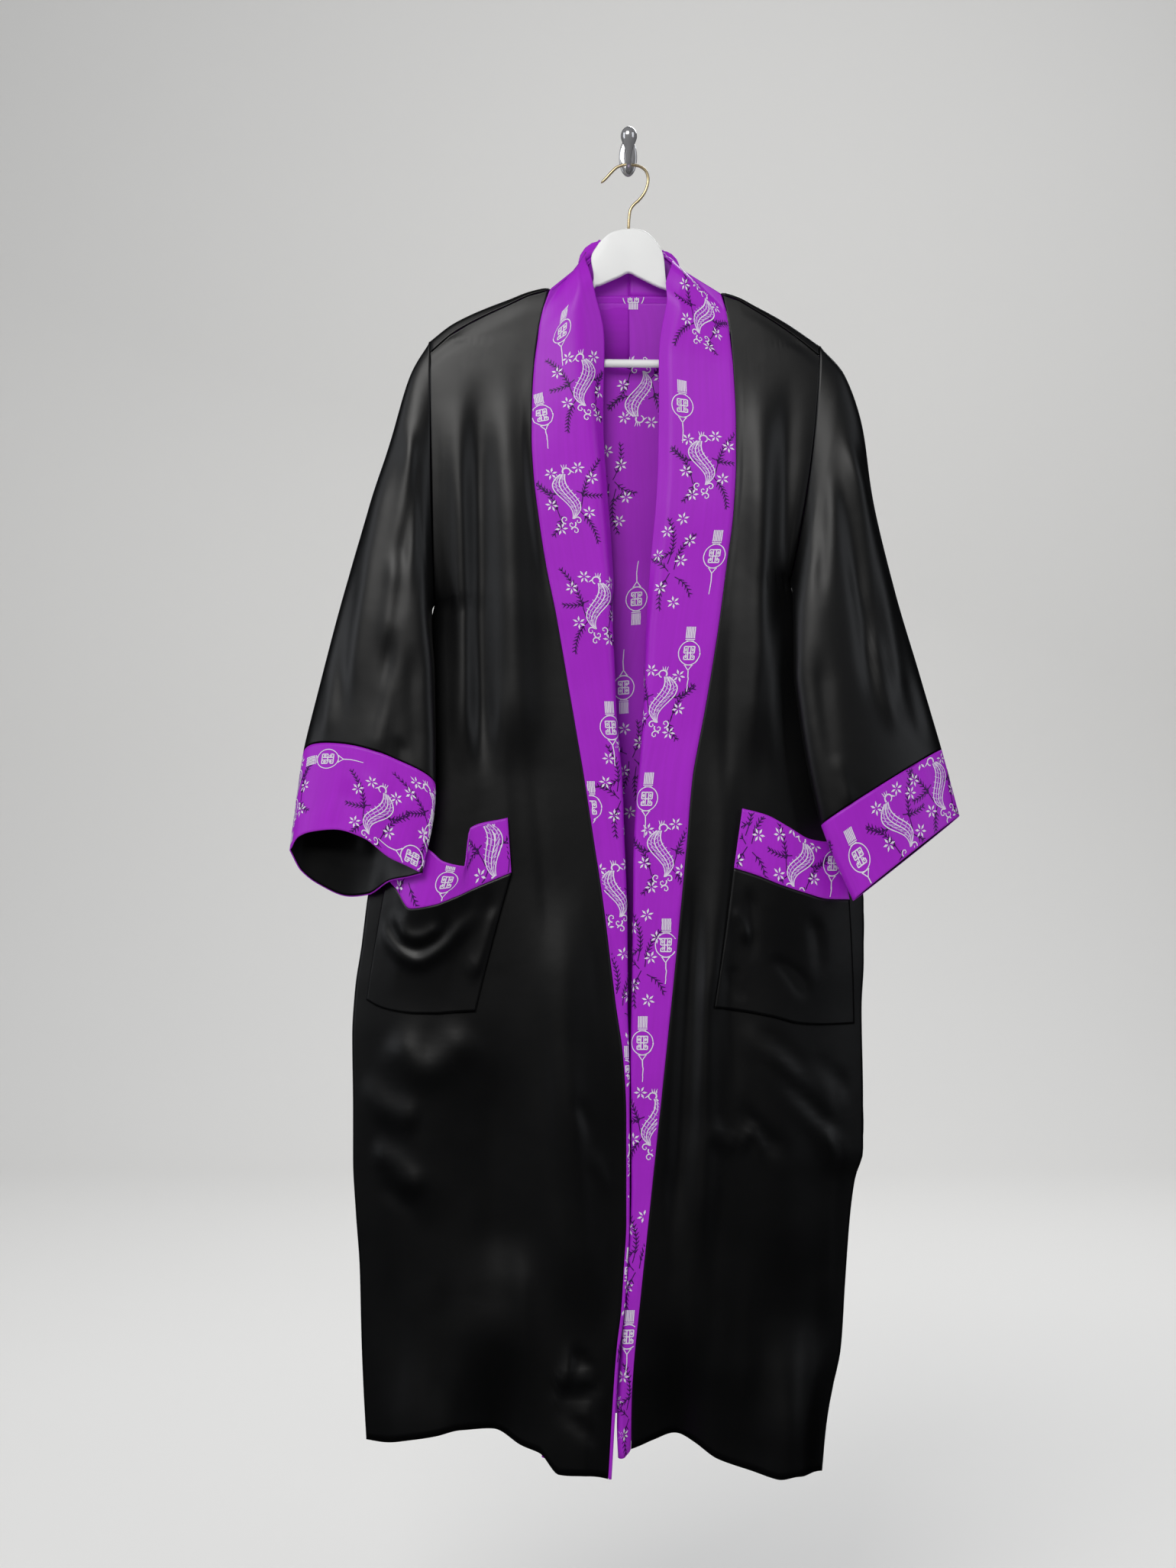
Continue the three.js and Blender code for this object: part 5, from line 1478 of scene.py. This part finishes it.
class ROBE_OT_wall_hook(bpy.types.Operator):
    """Makes the chrome hook on the wall"""

    bl_idname = "robe.wall_hook"
    bl_label = "Wall hook"

    def execute(self, context):
        g = np.linspace(0, 2 * np.pi, 64, endpoint=False)
        rings = []
        for y, inset in PLATE_EDGE:
            x, z = (PLATE_WIDE - inset) * np.cos(g), (PLATE_TALL - inset) * np.sin(g)
            rings.append(np.stack([x, np.full_like(x, y), z], axis=1))
        loft("wall_rose", rings, "wall_plate", "chrome")
        line = curved([(0, y, z) for y, z, _ in PRONG], 6)
        radii = curved([[r] for _, _, r in PRONG], 6)[:, 0]
        loft("wall_hook", rod_rings(line, radii, 32), "wall_prong", "chrome")
        return {"FINISHED"}


# Stage: in metres but for the camera's place, which is in the frame's millimetres.
CAMERA_X, CAMERA_Z = -44.4, -694.7
GARMENT_Y = -50
FRAME_HEIGHT = 1705  # what the picture's height covers in the garment's plane
SENSOR = 36
FLOOR_Z = -1.72
FLOOR_FROM, FLOOR_HALF = -7.0, 8.0
SWEEP_Y, SWEEP_RADIUS, SWEEP_TOP = 4.6, 1.2, 5.0
MIDDLE = (0, 0, -0.75)  # of the robe
ROOM_COLOUR, ROOM_STRENGTH = (0.8, 0.82, 0.85, 1), 0.42
# Columns of LIGHTS: name, place, aim, width and height, power, colour.
LIGHTS = [
    ("key", (-1.1, -2.7, 1.4), (0, 0, -0.4), (2, 1.4), 60, (1, 0.99, 0.97)),
    ("fill", (2.8, -1.8, 0.4), MIDDLE, (1.6, 2.6), 15, (0.92, 0.95, 1)),
    ("side", (-2.8, -0.8, 0.2), MIDDLE, (1.2, 2.4), 14, (0.92, 0.95, 1)),
    ("rear", (0.9, 2.6, 1.9), MIDDLE, (2, 1.4), 60, (0.97, 0.98, 1)),
    ("behind", (0.6, 1.8, 1.8), (0, SWEEP_Y, -0.8), (3, 2), 30, (1, 1, 1)),
]


def area_light(name, place, aim, size, power, colour):
    """A soft lamp that doesn't show in the picture itself."""
    light = bpy.data.lights.new(name, "AREA")
    light.shape, light.size, light.size_y = "RECTANGLE", *size
    light.energy, light.color = power, colour
    lamp = bpy.data.objects.new(name, light)
    bpy.context.scene.collection.objects.link(lamp)
    lamp.location = place
    lamp.visible_camera = False
    lamp.rotation_euler = (Vector(aim) - Vector(place)).to_track_quat("-Z", "Y").to_euler()


def make_floor(scene):
    """A floor that sweeps up into the backdrop, and that mirror-like reflections leave out."""
    run = [(FLOOR_FROM, 0.0)]
    for a in np.linspace(0, np.pi / 2, 20):
        run.append((SWEEP_Y + SWEEP_RADIUS * (math.sin(a) - 1), SWEEP_RADIUS * (1 - math.cos(a))))
    run.append((SWEEP_Y, SWEEP_TOP))
    points = [(x, y, FLOOR_Z + z) for y, z in run for x in (-FLOOR_HALF, FLOOR_HALF)]
    faces = [(2 * i, 2 * i + 1, 2 * i + 3, 2 * i + 2) for i in range(len(run) - 1)]
    mesh = bpy.data.meshes.new("floor")
    mesh.from_pydata(points, [], faces)
    mesh.polygons.foreach_set("use_smooth", [True] * len(faces))
    mesh.materials.append(finish_of("pale_ground"))
    floor = bpy.data.objects.new("floor", mesh)
    scene.collection.objects.link(floor)
    floor.visible_glossy = False


def make_room(scene):
    """Soft light from all sides, which mirror-like reflections leave out."""
    world = bpy.data.worlds.new("soft_room")
    world.use_nodes = True
    colour, strength = world.node_tree.nodes["Background"].inputs[:2]
    colour.default_value, strength.default_value = ROOM_COLOUR, ROOM_STRENGTH
    world.cycles_visibility.glossy = False
    scene.world = world


def make_camera(scene):
    """A level camera that looks straight at the wall."""
    data = bpy.data.cameras.new("camera")
    distance = scene.robe_sizes.camera_distance
    data.sensor_width = SENSOR
    data.lens = data.sensor_width * distance / (FRAME_HEIGHT * MM)
    camera = bpy.data.objects.new("camera", data)
    camera.location = (CAMERA_X * MM, GARMENT_Y * MM - distance, CAMERA_Z * MM)
    camera.rotation_euler = (math.pi / 2, 0, 0)
    scene.collection.objects.link(camera)
    scene.camera = camera


class ROBE_OT_stage(bpy.types.Operator):
    """Makes the pale floor and backdrop, the soft lights and the camera"""

    bl_idname = "robe.stage"
    bl_label = "Stage"

    def execute(self, context):
        make_floor(context.scene)
        for light in LIGHTS:
            area_light(*light)
        make_room(context.scene)
        make_camera(context.scene)
        context.scene.view_settings.view_transform = "Standard"
        return {"FINISHED"}


OPERATORS = [
    ROBE_OT_back, ROBE_OT_fronts, ROBE_OT_sleeves, ROBE_OT_bands, ROBE_OT_pockets,
    ROBE_OT_hanger, ROBE_OT_wall_hook, ROBE_OT_stage,
]


class ROBE_PT_panel(bpy.types.Panel):
    """Lists the robe's pieces"""

    bl_label = "Robe"
    bl_idname = "ROBE_PT_panel"
    bl_space_type = "VIEW_3D"
    bl_region_type = "UI"
    bl_category = "Robe"

    def draw(self, context):
        for operator in OPERATORS:
            self.layout.operator(operator.bl_idname)
        for group in (context.scene.robe_sizes, context.scene.robe_finishes):
            for name in group.bl_rna.properties.keys():
                if name not in ("rna_type", "name"):
                    self.layout.prop(group, name)


CLASSES = [RobeFinishes, RobeSizes, *OPERATORS, ROBE_PT_panel]


def register():
    for c in CLASSES:
        bpy.utils.register_class(c)
    bpy.types.Scene.robe_finishes = bpy.props.PointerProperty(type=RobeFinishes)
    bpy.types.Scene.robe_sizes = bpy.props.PointerProperty(type=RobeSizes)


def unregister():
    del bpy.types.Scene.robe_sizes
    del bpy.types.Scene.robe_finishes
    for c in reversed(CLASSES):
        bpy.utils.unregister_class(c)


def main():
    register()
    for operator in OPERATORS:
        group, name = operator.bl_idname.split(".")
        getattr(getattr(bpy.ops, group), name)()


if __name__ == "__main__":
    main()
